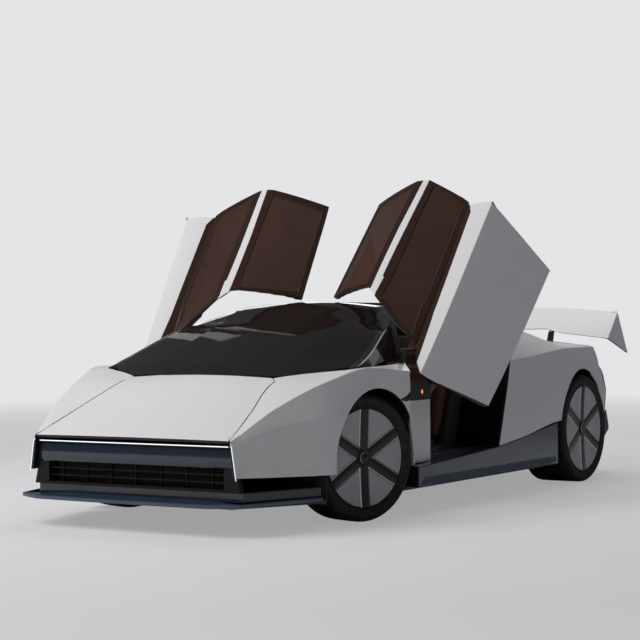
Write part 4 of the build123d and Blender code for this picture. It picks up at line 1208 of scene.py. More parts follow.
class SUPERCAR_OT_nose(bpy.types.Operator):
    """Gloss nose band, light guide with glowing corner strips as painted highlights, near-black intake as
    painted shade, and splitter with a painted-light top
    """
    bl_idname = "supercar.nose"
    bl_label = "Nose"

    def execute(self, context):
        # Below the band the plate takes the near-black finish, painted shade of the opening.
        plate = cut_copy("front_fascia", ((2, BAND_LOW),), lambda m, n: 0 if m.z > BAND_LOW else 1)
        place(rounded(new_object("nose_plate", plate, ("ink", "black_and_shade")), 0.002), "body", ("front_fascia",))
        place(even_shading(new_object("nose_blade", nose_blade(), ("ink",))), "body", ())
        place(rounded(new_object("nose_intake", intake_mesh(), ("black_and_shade", "black_and_shade")), 0.0006, 1), "body", ())
        place(even_shading(new_object("nose_light_and_painted_highlights", lens_and_painted_highlights(), ("light", "moulded"))), "body",
              ("front_light_bar",))
        # Upward faces and the lower lip take the lighter copy of the ink, painted light on the splitter's
        # top.
        lip = cut_copy("front_splitter", ((2, 0.172),), lambda m, n: 0 if m.z < 0.1725 or n.z > 0.5 else 1)
        place(rounded(new_object("nose_splitter", lip, ("lip", "ink")), 0.005, 3), "body",
              ("front_splitter",))
        return {"FINISHED"}


# ------------------------------------------------------------------ flanks
# Vent behind the front wheel: y, z of its lower edge, then its upper edge, from front to back.
VENT = ((-1.070, 0.648, 0.660), (-1.000, 0.643, 0.678), (-0.935, 0.643, 0.695), (-0.872, 0.643, 0.711))
VENT_LAMP = (-0.712, 0.688)
SILL_FRONT, SILL_BACK = -0.872, 0.972
SILL_FACE = 0.984               # half width of the car at the foot of the sill
FLANK_RAY = 1.3                 # x where rays that find the flank start


def vent_mesh(tree, side):
    """Flush dark plate on the flank behind the wheel, painted shade of the vent's opening, with its frame,
    blades and lamp.
    """
    bm = bmesh.new()

    def at(y, z, lift):
        spot = onto(tree, (side * FLANK_RAY, y, z), (-side, 0, 0))
        return spot + Vector((side * lift, 0, 0))

    # The plate lies on the flank, a dark sheet that paints the shade of the vent's opening.
    rings = []
    for y, low, high in VENT:
        rings.append([at(y, low + (high - low) * share, 0.0010 if 0 < share < 1 else 0.0004)
                      for share in (0.0, 0.08, 0.36, 0.64, 0.92, 1.0)]
                     + [at(y, low + (high - low) * share, -0.004) for share in (1.0, 0.0)])
    skin(bm, rings, zone=lambda i, j: 0)
    for share in (0.33, 0.66):
        spots = [at(y, low + (high - low) * share, 0.0016) for y, low, high in VENT[1:]]
        ribbon(bm, spots, [Vector((side, 0, 0.2))] * len(spots), 0.004, 0.0018, 1)
    middle = at(*VENT_LAMP, 0.0012)
    matrix = Matrix.Translation(middle) @ Matrix.Diagonal((side, 1, 1, 1))
    lathe(bm, ((-0.002, 0.015), (0.0015, 0.0145), (0.0022, 0.012), (0.0012, 0.0115)), 32, matrix,
          zone=lambda i, j: 1)
    lathe(bm, ((0.0, 0.0118), (0.0022, 0.0110), (0.0036, 0.0070), (0.0040, 0.0)), 32, matrix,
          zone=lambda i, j: 2)
    return tidy(bm)


def sill_mesh(side):
    """Blade along the foot of the sill with a raised edge."""
    bm = bmesh.new()
    section = ((0.9840, 0.1560), (0.9900, 0.1570), (0.9965, 0.1640), (0.9960, 0.1700), (0.9885, 0.1840),
               (0.9862, 0.2060), (0.9840, 0.2070))
    rings = []
    for k in range(25):
        share = k / 24
        y = SILL_FRONT + (SILL_BACK - SILL_FRONT) * share
        grow = min(share / 0.06, (1 - share) / 0.06, 1.0)
        rings.append([Vector((side * (SILL_FACE + (x - SILL_FACE) * grow), y, z)) for x, z in section])
    skin(bm, rings)
    return tidy(bm)


class SUPERCAR_OT_flanks(bpy.types.Operator):
    """Sills, and vents with side lamps"""
    bl_idname = "supercar.flanks"
    bl_label = "Flanks"

    def execute(self, context):
        for side, name in ((1, "left"), (-1, "right")):
            tree = skin_of(bpy.data.objects[f"{name}_front_fender_panel"])
            vent = new_object(f"{name}_vent", vent_mesh(tree, side), ("moulded", "black", "lamp_amber"))
            place(even_shading(vent), "body", ())
            sill = cut_copy(f"{name}_sill")
            place(rounded(new_object(f"{name}_sill_panel", sill, ("ink",)), 0.006, 3), "body",
                  (f"{name}_sill",))
            # The blade takes the same lighter copy of the ink as the splitter's top.
            place(even_shading(new_object(f"{name}_sill_blade", sill_mesh(side), ("lip",))), "body", ())
        return {"FINISHED"}


# ------------------------------------------------------------------ tail
def wing_zone(middle, normal):
    """1 for the struts and underside of the wing, else 0."""
    strut = (abs(abs(middle.x) - 0.42) < 0.03 and middle.z < 1.05
             and abs(normal.z) < 0.9 and abs(normal.x) > 0.5)
    return 1 if strut or normal.z < -0.25 or (abs(middle.x) < 0.9 and middle.z < 1.0) else 0


GRILLE_BLADES, GRILLE_LOW, GRILLE_PITCH, GRILLE_REACH = 8, 0.480, 0.023, 0.700
GRILLE_FACE, GRILLE_EDGE = 2.086, 2.0905     # y of the blades' root and of their front edge


def tail_blades():
    """Grille blades across the tail, and two fog lamps."""
    bm = bmesh.new()
    for k in range(GRILLE_BLADES):
        z = GRILLE_LOW + GRILLE_PITCH * k
        reach = GRILLE_REACH + 0.010 * k
        rings = []
        for j in range(21):
            share = j / 10 - 1
            x = reach * share
            out = GRILLE_EDGE + 0.0075 * (1 - abs(share) ** 6)
            rings.append([Vector((x, GRILLE_FACE, z)), Vector((x, out - 0.003, z + 0.0005)),
                          Vector((x, out, z + 0.004)),
                          Vector((x, out - 0.002, z + 0.0075)), Vector((x, GRILLE_FACE, z + 0.009))])
        skin(bm, rings, zone=lambda i, j: 0)
    for side in (-1, 1):
        matrix = Matrix.Translation((side * 0.30, GRILLE_EDGE, 0.462)) @ Matrix.Rotation(math.pi / 2, 4,
                                                                                         "Z")
        lathe(bm, ((-0.004, 0.013), (0.004, 0.0125), (0.006, 0.011), (0.004, 0.010), (0.0055, 0.006),
                   (0.006, 0.0)),
              28, matrix, zone=lambda i, j: 1 if j > 2 else 0)
    return tidy(bm)


def tail_guide():
    """Red light guide across the tail, in a grooved black housing."""
    bm = bmesh.new()
    section = ((2.0704, 0.6955), (2.0835, 0.6955), (2.0870, 0.6985), (2.0878, 0.7060), (2.0860, 0.7100),
               (2.0860, 0.7200), (2.0878, 0.7240), (2.0870, 0.7315), (2.0835, 0.7345), (2.0704, 0.7345))
    xs = [-0.7645, -0.760, *[k * 0.038 for k in range(-19, 20)], 0.760, 0.7645]
    skin(bm, [[Vector((x, y, z)) for y, z in section] for x in xs],
         zone=lambda i, j: 0 if 0 < i < len(xs) - 2 and 0 < j < 8 and j != 4 else 1)
    return tidy(bm)


LOUVRES = 9
LOUVRE_START, LOUVRE_PITCH, LOUVRE_LENGTH = 0.780, 0.105, 0.046      # along the cover
LOUVRE_REACH, LOUVRE_TAPER = 0.440, 0.016    # half width of the first, and less for each next
LOUVRE_LIFT = 0.010
ABOVE, DOWN = 1.6, (0, 0, -1)                # where rays that find the cover start, and their way


def cover_louvres(tree):
    """Blades across the engine cover, following its crown."""
    bm = bmesh.new()
    for k in range(LOUVRES):
        front = LOUVRE_START + LOUVRE_PITCH * k
        back = front + LOUVRE_LENGTH
        reach = LOUVRE_REACH - LOUVRE_TAPER * k
        rings = []
        for j in range(17):
            x = reach * (j / 8 - 1)
            tip = min((1 - abs(j / 8 - 1)) * 6, 1.0)
            rings.append([onto(tree, (x, y, ABOVE), DOWN, lift) for y, lift in (
                (front, 0.0008), (front + 0.012, 0.002 + LOUVRE_LIFT * 0.55 * tip),
                (back, 0.002 + LOUVRE_LIFT * tip), (back + 0.002, 0.0008))])
        skin(bm, rings)
    return tidy(bm)


class SUPERCAR_OT_tail(bpy.types.Operator):
    """Wing, light guide, grille, diffuser and engine cover louvres"""
    bl_idname = "supercar.tail"
    bl_label = "Tail"

    def execute(self, context):
        wing = cut_copy("rear_wing", (), wing_zone)
        place(rounded(new_object("tail_wing", wing, ("pearl", "carbon")), 0.0035, 3), "body",
              ("rear_wing",))
        place(even_shading(new_object("tail_light", tail_guide(), ("tail", "moulded"))), "body",
              ("tail_light_bar",))
        place(even_shading(new_object("tail_grille", tail_blades(), ("moulded", "tail"))), "body", ())
        diffuser = cut_copy("rear_diffuser")
        for k in range(-3, 4):
            if k:
                x = 0.150 * k
                slab(diffuser, (x - 0.004, 2.000, 0.170), (x + 0.004, 2.270, 0.300), 0)
        place(rounded(new_object("tail_diffuser", diffuser, ("carbon",)), 0.003), "body",
              ("rear_diffuser",))
        tree = skin_of(bpy.data.objects["engine_cover_panel"])
        blades = new_object("cover_louvres", cover_louvres(tree), ("moulded",))
        place(even_shading(blades), "engine_cover", ())
        return {"FINISHED"}


# ------------------------------------------------------------------ cabin
SEAT_X = 0.400
COLUMN_AT = Vector((0.400, -0.560, 0.700))
COLUMN_AIM = Vector((0, 0.95068, 0.31022))


def column_place():
    """Matrix whose x axis runs up the steering column towards the driver."""
    up = Vector((0, -COLUMN_AIM.z, COLUMN_AIM.y))
    return Matrix.Translation(COLUMN_AT) @ Matrix((COLUMN_AIM, (1, 0, 0), up)).transposed().to_4x4()


def wheel_grip():
    """Steering wheel: padded rim, two forged spokes, hub pad, paddles and buttons."""
    bm, matrix = bmesh.new(), column_place()
    ring = [(0.012 + 0.0115 * math.cos(a), 0.1625 + 0.0122 * math.sin(a))
            for a in [2 * math.pi * k / 14 for k in range(14)]]
    lathe(bm, ring, 96, matrix, zone=lambda i, j: 0, close=True)
    for side in (-1, 1):
        rings = []
        for x, half, deep in ((0.030, 0.030, 0.010), (0.070, 0.021, 0.007), (0.110, 0.017, 0.006),
                              (0.152, 0.019, 0.007)):
            rings.append([matrix @ Vector((0.012 + a, side * x, z)) for a, z in (
                (-deep, -half), (deep * 0.4, -half), (deep, -half * 0.7), (deep, half * 0.7),
                (deep * 0.4, half),
                (-deep, half))])
        skin(bm, rings, zone=lambda i, j: 1)
        rings = []
        for x, z0, z1 in ((0.060, 0.012, 0.050), (0.100, 0.006, 0.062), (0.138, 0.010, 0.056)):
            rings.append([matrix @ Vector((-0.012 + a, side * x, z)) for a, z in (
                (0, z0), (0.003, z0 + 0.002), (0.003, z1 - 0.002), (0, z1))])
        skin(bm, rings, zone=lambda i, j: 1)
        for k in range(3):
            spot = matrix @ Matrix.Translation((0.019, side * 0.078, -0.010 + 0.010 * k))
            lathe(bm, ((-0.002, 0.0042), (0.001, 0.0040), (0.0016, 0.003), (0.0016, 0.0)), 16, spot,
                  zone=lambda i, j: 3)
    lathe(bm, ((-0.012, 0.047), (0.008, 0.048), (0.016, 0.044), (0.0205, 0.034), (0.0225, 0.015),
               (0.0225, 0.0)), 48,
          matrix, zone=lambda i, j: 0)
    lathe(bm, ((0.0222, 0.019), (0.0232, 0.0185), (0.0232, 0.0165), (0.0222, 0.016)), 40, matrix,
          zone=lambda i, j: 1)
    boot = [(-0.119, 0.0), (-0.119, 0.0285)]
    for k in range(8):
        boot += [(-0.115 + 0.012 * k, 0.0290), (-0.109 + 0.012 * k, 0.0245)]
    lathe(bm, boot + [(-0.012, 0.026), (-0.012, 0.0)], 40, matrix, zone=lambda i, j: 3)
    return tidy(bm)


def dash_parts():
    """Cowl, screens, air vents and seams of the dashboard."""
    bm = bmesh.new()
    # hood over the dials: an arch of closed sections
    rings = []
    for k in range(19):
        angle = math.pi * k / 18
        x, rise = SEAT_X + 0.165 * math.cos(angle), 0.052 * math.sin(angle) ** 0.7
        wall = 0.011
        rings.append([Vector((x, -0.800, 0.815 + rise)), Vector((x, -0.690, 0.800 + rise)),
                      Vector((x, -0.668, 0.794 + rise)), Vector((x, -0.668, 0.794 + rise - wall)),
                      Vector((x, -0.690, 0.800 + rise - wall)), Vector((x, -0.800, 0.815 + rise - wall))])
    skin(bm, rings, zone=lambda i, j: 0)
    for x, half, y, z, tall, deep in ((SEAT_X, 0.135, -0.712, 0.806, 0.044, 0.010),
                                      (0.0, 0.150, -0.672, 0.792, 0.072, 0.012)):
        lean = Vector((0, -0.30, 0.954))
        out = Vector((0, 0.954, 0.30))
        rings = []
        for share in (-1.0, -0.985, 0.985, 1.0):
            soft = 0.0015 if abs(share) == 1.0 else 0.0
            foot = Vector((x + share * half, y, z - tall * 0.35))
            rings.append([foot - out * deep, foot + out * (-soft),
                          foot + lean * 0.003 + out * (0.001 - soft),
                          foot + lean * (tall - 0.003) + out * (0.001 - soft),
                          foot + lean * tall - out * soft,
                          foot + lean * tall - out * deep])
        skin(bm, rings, zone=lambda i, j: 1 if j in (1, 2, 3) and i == 1 else 2)
    for x in (-0.66, -0.22, 0.17, 0.66):
        for k in range(5):
            slab(bm, (x - 0.050, -0.640, 0.6800 + 0.010 * k), (x + 0.050, -0.614, 0.6835 + 0.010 * k), 2,
                 0.3)
        for dx in (-0.054, 0.054):
            slab(bm, (x + dx - 0.004, -0.642, 0.674), (x + dx + 0.004, -0.612, 0.732), 3)
        for z in (0.671, 0.731):
            slab(bm, (x - 0.058, -0.642, z), (x + 0.058, -0.612, z + 0.006), 3)
    spots = [Vector((x, -0.6975, 0.8005)) for x in [k * 0.05 - 0.75 for k in range(31)]]
    for k, spot in enumerate(spots[:-1]):
        if abs(spot.x - SEAT_X) > 0.2 and abs(spot.x) > 0.18:
            bar(bm, spot + Vector((0.004, 0, 0)), spot + Vector((0.046, 0, 0)), 0.0013, 6, 4)
    return tidy(bm)


def console_parts():
    """Dial, switches and screen on the centre console."""
    bm = bmesh.new()
    up = Vector((0, 0.35, 0.936)).to_track_quat("X", "Z").to_matrix().to_4x4()
    dial = Matrix.Translation((0.0, -0.330, 0.477)) @ up
    ridged = [(0.0, 0.034), (0.004, 0.034), (0.006, 0.030), (0.008, 0.029), (0.022, 0.0275), (0.025, 0.025),
              (0.0255, 0.012), (0.0245, 0.0)]
    lathe(bm, ridged, 48, dial, zone=lambda i, j: 0 if i % 2 and j in (3, 4) else 1)
    for k in range(6):
        x = -0.055 + 0.022 * k
        slab(bm, (x - 0.008, -0.445, 0.524), (x + 0.008, -0.418, 0.534), 1, 0.2)
    rings = []
    for share in (-1.0, -0.97, 0.97, 1.0):
        x = 0.066 * share
        drop = 0.001 if abs(share) == 1.0 else 0.0
        rings.append([Vector((x, -0.640, 0.590)), Vector((x, -0.640, 0.599 - drop)),
                      Vector((x, -0.480, 0.541 - drop)),
                      Vector((x, -0.480, 0.532))])
    skin(bm, rings, zone=lambda i, j: 2 if j == 1 and i == 1 else 0)
    for x in (-0.0835, 0.0835):
        spots = [Vector((x, y, z)) for y, z in ((-0.84, 0.563), (-0.64, 0.600), (-0.42, 0.518),
                                                (-0.20, 0.4345),
                                                (0.08, 0.4295), (0.36, 0.4245))]
        for first, second in zip(spots, spots[1:]):
            bar(bm, first, second, 0.0030, 8, 0)
    return tidy(bm)


# Seat pads: half width, centre x offset, then stations along the seat: y, z, thickness share.
BASE_LINE = ((-0.392, 0.352), (-0.300, 0.338), (-0.200, 0.322), (-0.100, 0.308), (-0.010, 0.312))
BACK_LINE = ((0.018, 0.372), (0.062, 0.480), (0.103, 0.590), (0.140, 0.690), (0.170, 0.775), (0.186, 0.820))
HEAD_LINE = ((0.215, 0.868), (0.236, 0.925), (0.255, 0.978))
PADS = (
    # line, half width, x offset, thickness, lift
    (BASE_LINE, 0.108, 0.0, 0.024, 0.008), (BASE_LINE, 0.050, 0.172, 0.036, 0.026),
    (BASE_LINE, 0.050, -0.172, 0.036, 0.026), (BACK_LINE, 0.108, 0.0, 0.024, 0.008),
    (BACK_LINE, 0.052, 0.178, 0.038, 0.030), (BACK_LINE, 0.052, -0.178, 0.038, 0.030),
    (HEAD_LINE, 0.105, 0.0, 0.026, 0.012),
)
PAD_END_SHARES = (0.70, 0.92, 1.0)   # size of the last rings of a cushion
PAD_VOXEL = 0.0100
PAD_CAP = 0.011                 # furthest a cushion point may swell
PRESSURE = 4.0
FRAMES = 20
CLOTH_STEPS = 4                 # solver steps a frame
CLOTH_STIFFNESS = 12
SEAM_WIDTH, SEAM_DEPTH = 0.0055, 0.0050
STITCH_PITCH, STITCH_LENGTH = 0.0092, 0.0062
STITCHES_ACROSS = 22
SIDE_PITCH, SIDE_LENGTH = 0.0100, 0.007      # stitches along the bolsters
SIDE_SEAM = 0.058               # bolster seam from the middle of the seat
SEAMS_BASE = (-0.290, -0.205, -0.120)
SEAMS_BACK = (0.470, 0.560, 0.650, 0.740)


def add_pad(bm, line, half, offset, thick, lift):
    """Cushion blank: rounded sections along a seat line, smaller at its ends."""
    spots = [Vector((SEAT_X + offset, y, z)) for y, z in line]
    fine = []
    for first, second in zip(spots, spots[1:]):
        fine += [first.lerp(second, k / 4) for k in range(4)]
    fine.append(spots[-1])
    rings = []
    for k, spot in enumerate(fine):
        along = (fine[min(k + 1, len(fine) - 1)] - fine[max(k - 1, 0)]).normalized()
        out = Vector((1, 0, 0)).cross(along)
        edge = min(k, len(fine) - 1 - k)
        share = PAD_END_SHARES[edge] if edge < 3 else 1.0
        middle = spot + out * lift
        ring = []
        for j in range(20):
            angle = 2 * math.pi * j / 20
            c, s = math.cos(angle), math.sin(angle)
            across = half * share * math.copysign(abs(c) ** 0.55, c)
            rise = thick * share * math.copysign(abs(s) ** 0.7, s)
            ring.append(middle + Vector((across, 0, 0)) + out * rise)
        rings.append(ring)
    skin(bm, rings)


def applied(obj):
    """Mesh of an object with its modifiers, and the object cleared of them."""
    context = bpy.context
    made = bpy.data.meshes.new_from_object(obj.evaluated_get(context.evaluated_depsgraph_get()))
    obj.modifiers.clear()
    old, obj.data = obj.data, made
    bpy.data.meshes.remove(old)
    return obj


def swell(obj, held):
    """Swells a cushion as cloth under pressure; held says which points stay put."""
    remesh = obj.modifiers.new("even_cloth", "REMESH")
    remesh.mode = "VOXEL"
    remesh.voxel_size = PAD_VOXEL
    applied(obj)
    start = [v.co.copy() for v in obj.data.vertices]
    group = obj.vertex_groups.new(name="held")
    group.add([k for k, co in enumerate(start) if held(co)], 1.0, "REPLACE")
    cloth = obj.modifiers.new("fill", "CLOTH")
    cloth.settings.use_pressure = True
    cloth.settings.uniform_pressure_force = PRESSURE
    cloth.settings.effector_weights.gravity = 0.0
    cloth.settings.vertex_group_mass = "held"
    cloth.settings.quality = CLOTH_STEPS
    cloth.collision_settings.use_collision = False
    cloth.settings.tension_stiffness = CLOTH_STIFFNESS
    cloth.settings.compression_stiffness = CLOTH_STIFFNESS
    cloth.point_cache.frame_start = 1
    cloth.point_cache.frame_end = FRAMES
    scene = bpy.context.scene
    for k in range(1, FRAMES + 1):
        scene.frame_set(k)
    applied(obj)
    scene.frame_set(1)
    for v, rest in zip(obj.data.vertices, start):
        move = v.co - rest
        if move.length > PAD_CAP:
            v.co = rest + move.normalized() * PAD_CAP
    obj.vertex_groups.clear()
    finer = obj.modifiers.new("finer", "SUBSURF")
    finer.levels = finer.render_levels = 1
    applied(obj)
    obj.data.polygons.foreach_set("use_smooth", [True] * len(obj.data.polygons))
    return obj


def pinch_seams(mesh):
    """Sewn channels: pulls the cushion in along its seams."""
    facing = [v.normal.copy() for v in mesh.vertices]
    for v, out in zip(mesh.vertices, facing):
        co = v.co
        if abs(co.x - SEAT_X) > 0.118:
            continue
        back = co.z > 0.36 and co.y > 0.0
        lines = SEAMS_BACK if back and co.z < 0.84 else () if back else SEAMS_BASE
        along = co.z if back else co.y
        pull = sum(math.exp(-((along - line) / SEAM_WIDTH) ** 2) for line in lines)
        pull += math.exp(-((abs(co.x - SEAT_X) - 0.052) / 0.0050) ** 2) if lines else 0.0
        v.co = co - out * SEAM_DEPTH * min(pull, 1.0)


def seam_threads(tree):
    """Raised stitches along the cushion's seams."""
    bm = bmesh.new()

    def stitch(first, second, way):
        a, b = onto(tree, first, way, 0.0004), onto(tree, second, way, 0.0004)
        if (a - b).length < 0.03:
            bar(bm, a, b, 0.0009, 5, 0)

    for line in SEAMS_BASE:
        for k in range(STITCHES_ACROSS):
            x = SEAT_X - 0.100 + STITCH_PITCH * k
            stitch((x, line + 0.006, 0.6), (x + STITCH_LENGTH, line + 0.006, 0.6), (0, 0, -1))
    for line in SEAMS_BACK:
        for k in range(STITCHES_ACROSS):
            x = SEAT_X - 0.100 + STITCH_PITCH * k
            stitch((x, -0.30, line + 0.006), (x + STITCH_LENGTH, -0.30, line + 0.006), (0, 1, 0))
    for side in (-1, 1):
        for k in range(34):
            y = -0.370 + SIDE_PITCH * k
            stitch((SEAT_X + side * SIDE_SEAM, y, 0.6), (SEAT_X + side * SIDE_SEAM, y + SIDE_LENGTH, 0.6),
                   (0, 0, -1))
        for k in range(42):
            z = 0.385 + SIDE_PITCH * k
            stitch((SEAT_X + side * SIDE_SEAM, -0.30, z),
                   (SEAT_X + side * SIDE_SEAM, -0.30, z + SIDE_LENGTH), (0, 1, 0))
    return tidy(bm)


def belt_mesh(tree):
    """Two shoulder straps over the seat back, with buckle and tongue."""
    bm = bmesh.new()
    for side in (-1, 1):
        spots, outs = [], []
        for k in range(20):
            z = 0.40 + 0.0235 * k
            x = SEAT_X + side * (0.020 + 0.085 * min(k / 10, 1.0))
            spots.append(onto(tree, (x, -0.35, z), (0, 1, 0), 0.004))
            outs.append(Vector((0, -0.93, 0.36)))
        for k in range(1, len(spots) - 1):
            spots[k] = (spots[k - 1] + spots[k] * 2 + spots[k + 1]) / 4
        ribbon(bm, spots, outs, 0.046, 0.0016, 0)
    rings = []
    for z, half, deep in ((0.385, 0.020, 0.006), (0.392, 0.030, 0.012), (0.430, 0.032, 0.014),
                          (0.438, 0.022, 0.007)):
        middle = onto(tree, (SEAT_X, -0.35, z), (0, 1, 0), 0.004)
        rings.append([middle + Vector((x, y, 0)) for x, y in (
            (-half, 0), (-half * 0.8, -deep), (half * 0.8, -deep), (half, 0), (half * 0.6, 0.004),
            (-half * 0.6, 0.004))])
    skin(bm, rings, zone=lambda i, j: 1)
    return tidy(bm)


def mirrored_copy(obj, name):
    """The same piece on the other side of the car."""
    bm = bmesh.new()
    bm.from_mesh(obj.data)
    mesh = bpy.data.meshes.new(name)
    flipped(bm).to_mesh(mesh)
    bm.free()
    for material in obj.data.materials:
        mesh.materials.append(material)
    made = bpy.data.objects.new(name, mesh)
    bpy.context.scene.collection.objects.link(made)
    for modifier in obj.modifiers:
        copy = made.modifiers.new(modifier.name, modifier.type)
        for key in ("width", "segments", "limit_method", "angle_limit", "use_clamp_overlap", "keep_sharp",
                    "weight"):
            if hasattr(modifier, key):
                setattr(copy, key, getattr(modifier, key))
    return made


def seat_zone(middle, normal):
    """1 on the back and underside of a seat shell, else 0."""
    return 1 if normal.y > 0.5 or normal.z < -0.5 else 0


class SUPERCAR_OT_seats(bpy.types.Operator):
    """Bucket seats with cloth-filled cushions, sewn channels, stitching and harness"""
    bl_idname = "supercar.seats"
    bl_label = "Seats"

    def execute(self, context):
        bm = bmesh.new()
        for pad in PADS:
            add_pad(bm, *pad)
        pads = new_object("left_seat_pads", tidy(bm), ("leather",))
        cad = skin_of(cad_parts["left_seat"])

        def held(co):
            near, normal, _, _ = cad.find_nearest(co)
            return (co - near).dot(normal) < 0.004

        swell(pads, held)
        pinch_seams(pads.data)
        tree = skin_of(pads)
        shell = rounded(new_object("left_seat_shell", cut_copy("left_seat", (), seat_zone),
                                   ("suede", "moulded")), 0.014, 4)
        threads = new_object("left_seat_stitches", seam_threads(tree), ("stitch",))
        belts = new_object("left_seat_harness", belt_mesh(tree), ("webbing", "edge"))
        for obj, nodes in ((pads, ()), (shell, ("seat",)), (threads, ()), (belts, ())):
            other = mirrored_copy(obj, obj.name.replace("left", "right"))
            for piece, side in ((obj, "left"), (other, "right")):
                place(piece, "body", [f"{side}_{node}" for node in nodes])
        return {"FINISHED"}


def trim_mesh(side, name):
    """Door trim with its pull handle, stitched seam and speaker, shaped as on the shut door."""
    turn = door_turn(side)
    bm = cut_copy(f"{name}_door_trim")
    bmesh.ops.transform(bm, matrix=turn, verts=bm.verts)
    tree = BVHTree.FromBMesh(bm)

    def at(y, z, lift):
        return onto(tree, (0.0, y, z), (side, 0, 0), lift)

    ys = [v.co.y for v in bm.verts]
    zs = [v.co.z for v in bm.verts]
    low, high, front, back = min(zs), max(zs), min(ys), max(ys)
    seam_z = low + (high - low) * 0.62
    count = int((back - front - 0.10) / 0.011)
    for k in range(count):
        y = front + 0.05 + 0.011 * k
        a, b = at(y, seam_z, 0.0005), at(y + 0.0075, seam_z, 0.0005)
        if abs(a.x) > 0.3 and abs(b.x) > 0.3 and (a - b).length < 0.02:
            bar(bm, a, b, 0.0010, 5, 1)
    middle = (front + back) / 2
    handle = [(middle - 0.10, 0.0), (middle - 0.085, 0.026), (middle, 0.034), (middle + 0.085, 0.026),
              (middle + 0.10, 0.0)]
    spots = [at(y, seam_z - 0.055, lift) for y, lift in handle]
    if all(abs(p.x) > 0.3 for p in spots):
        for first, second in zip(spots, spots[1:]):
            bar(bm, first, second, 0.0085, 12, 2)
        spot = at(front + (back - front) * 0.22, low + (high - low) * 0.34, 0.0005)
        grille = Matrix.Translation(spot) @ Matrix.Diagonal((-side, 1, 1, 1))
        rings = [(0.0, 0.070), (0.004, 0.069), (0.005, 0.065)]
        for k in range(6):
            r = 0.063 - 0.010 * k
            rings += [(0.0025, r), (0.0025, r - 0.004), (0.0045, r - 0.005), (0.0045, r - 0.008)]
        lathe(bm, rings + [(0.0045, 0.0)], 48, grille, zone=lambda i, j: 2)
    bmesh.ops.transform(bm, matrix=turn.inverted(), verts=bm.verts)
    return bm


class SUPERCAR_OT_cabin(bpy.types.Operator):
    """Dashboard, console, steering wheel and door trims"""
    bl_idname = "supercar.cabin"
    bl_label = "Cabin"

    def execute(self, context):
        dash = new_object("dash_cover", cut_copy("dashboard"), ("dash",))
        place(rounded(dash, 0.012, 4), "body", ("dashboard",))
        parts = new_object("dash_fittings", dash_parts(), ("dash", "display", "moulded", "edge", "stitch"))
        place(even_shading(parts), "body", ())
        middle = new_object("console_cover", cut_copy("console"), ("dash",))
        place(rounded(middle, 0.010, 3), "body", ("console",))
        controls = new_object("console_controls", console_parts(), ("edge", "moulded", "display"))
        place(even_shading(controls), "body", ())
        grip = new_object("steering_grip", wheel_grip(), ("dash", "edge", "display", "moulded"))
        place(even_shading(grip), "steering_wheel", ("steering_wheel",))
        for side, name in ((1, "left"), (-1, "right")):
            trim = new_object(f"{name}_door_lining", trim_mesh(side, name),
                              ("leather_plain", "stitch", "moulded"))
            place(rounded(trim, 0.004), f"{name}_door", (f"{name}_door_trim",))
        return {"FINISHED"}


# ------------------------------------------------------------------ running gear and structure
FINS, FIN_START, FIN_PITCH = 14, 1.215, 0.0275       # along the drive unit's top
SIDE_FINS, SIDE_FIN_LOW, SIDE_FIN_PITCH = 9, 0.20, 0.038
UNIT_SIDE = 0.2195                                   # x of the drive unit's side face
RIBS, RIB_START, RIB_PITCH, RIB_HALF = 9, -0.440, 0.110, 0.022    # across the battery's lid
CASE_RIBS, CASE_RIB_START, CASE_RIB_PITCH, CASE_RIB_HALF = 8, -0.42, 0.12, 0.025
AXLE_SPOT, AXLE_HEIGHT = 1.395, 0.361                # y and z of the half shafts


def drive_fins():
    """Cooling fins and bolts of the drive unit."""
    bm = bmesh.new()
    for k in range(FINS):
        y = FIN_START + FIN_PITCH * k
        slab(bm, (-0.205, y, 0.557), (0.205, y + 0.006, 0.585))
    for side in (-1, 1):
        for k in range(SIDE_FINS):
            z = SIDE_FIN_LOW + SIDE_FIN_PITCH * k
            rings = []
            for y, deep in ((1.205, 0.002), (1.215, 0.013), (1.575, 0.013), (1.585, 0.002)):
                rings.append([Vector((side * UNIT_SIDE, y, z)),
                              Vector((side * (UNIT_SIDE + deep), y, z + 0.001)),
                              Vector((side * (UNIT_SIDE + deep), y, z + 0.006)),
                              Vector((side * UNIT_SIDE, y, z + 0.008))])
            skin(bm, rings)
    for x in (-0.19, 0.0, 0.19):
        for z in (0.19, 0.35, 0.51):
            bolt(bm, (x, 1.1905, z), (0, -1, 0), 0.008)
            bolt(bm, (x, 1.5995, z), (0, 1, 0), 0.008)
    return tidy(bm)


def battery_ribs():
    """Pressed ribs and bolts of the battery case."""
    bm = bmesh.new()
    for k in range(RIBS):
        x = RIB_START + RIB_PITCH * k
        slab(bm, (x - RIB_HALF, 0.500, 0.618), (x + RIB_HALF, 0.920, 0.627))
    for side in (-1, 1):
        for k in range(7):
            bolt(bm, (side * 0.475, 0.50 + 0.07 * k, 0.6198), (0, 0, 1), 0.006, 1)
    for k in range(CASE_RIBS):
        x = CASE_RIB_START + CASE_RIB_PITCH * k
        slab(bm, (x - CASE_RIB_HALF, 0.954, 0.200), (x + CASE_RIB_HALF, 0.964, 0.560))
    return tidy(bm)


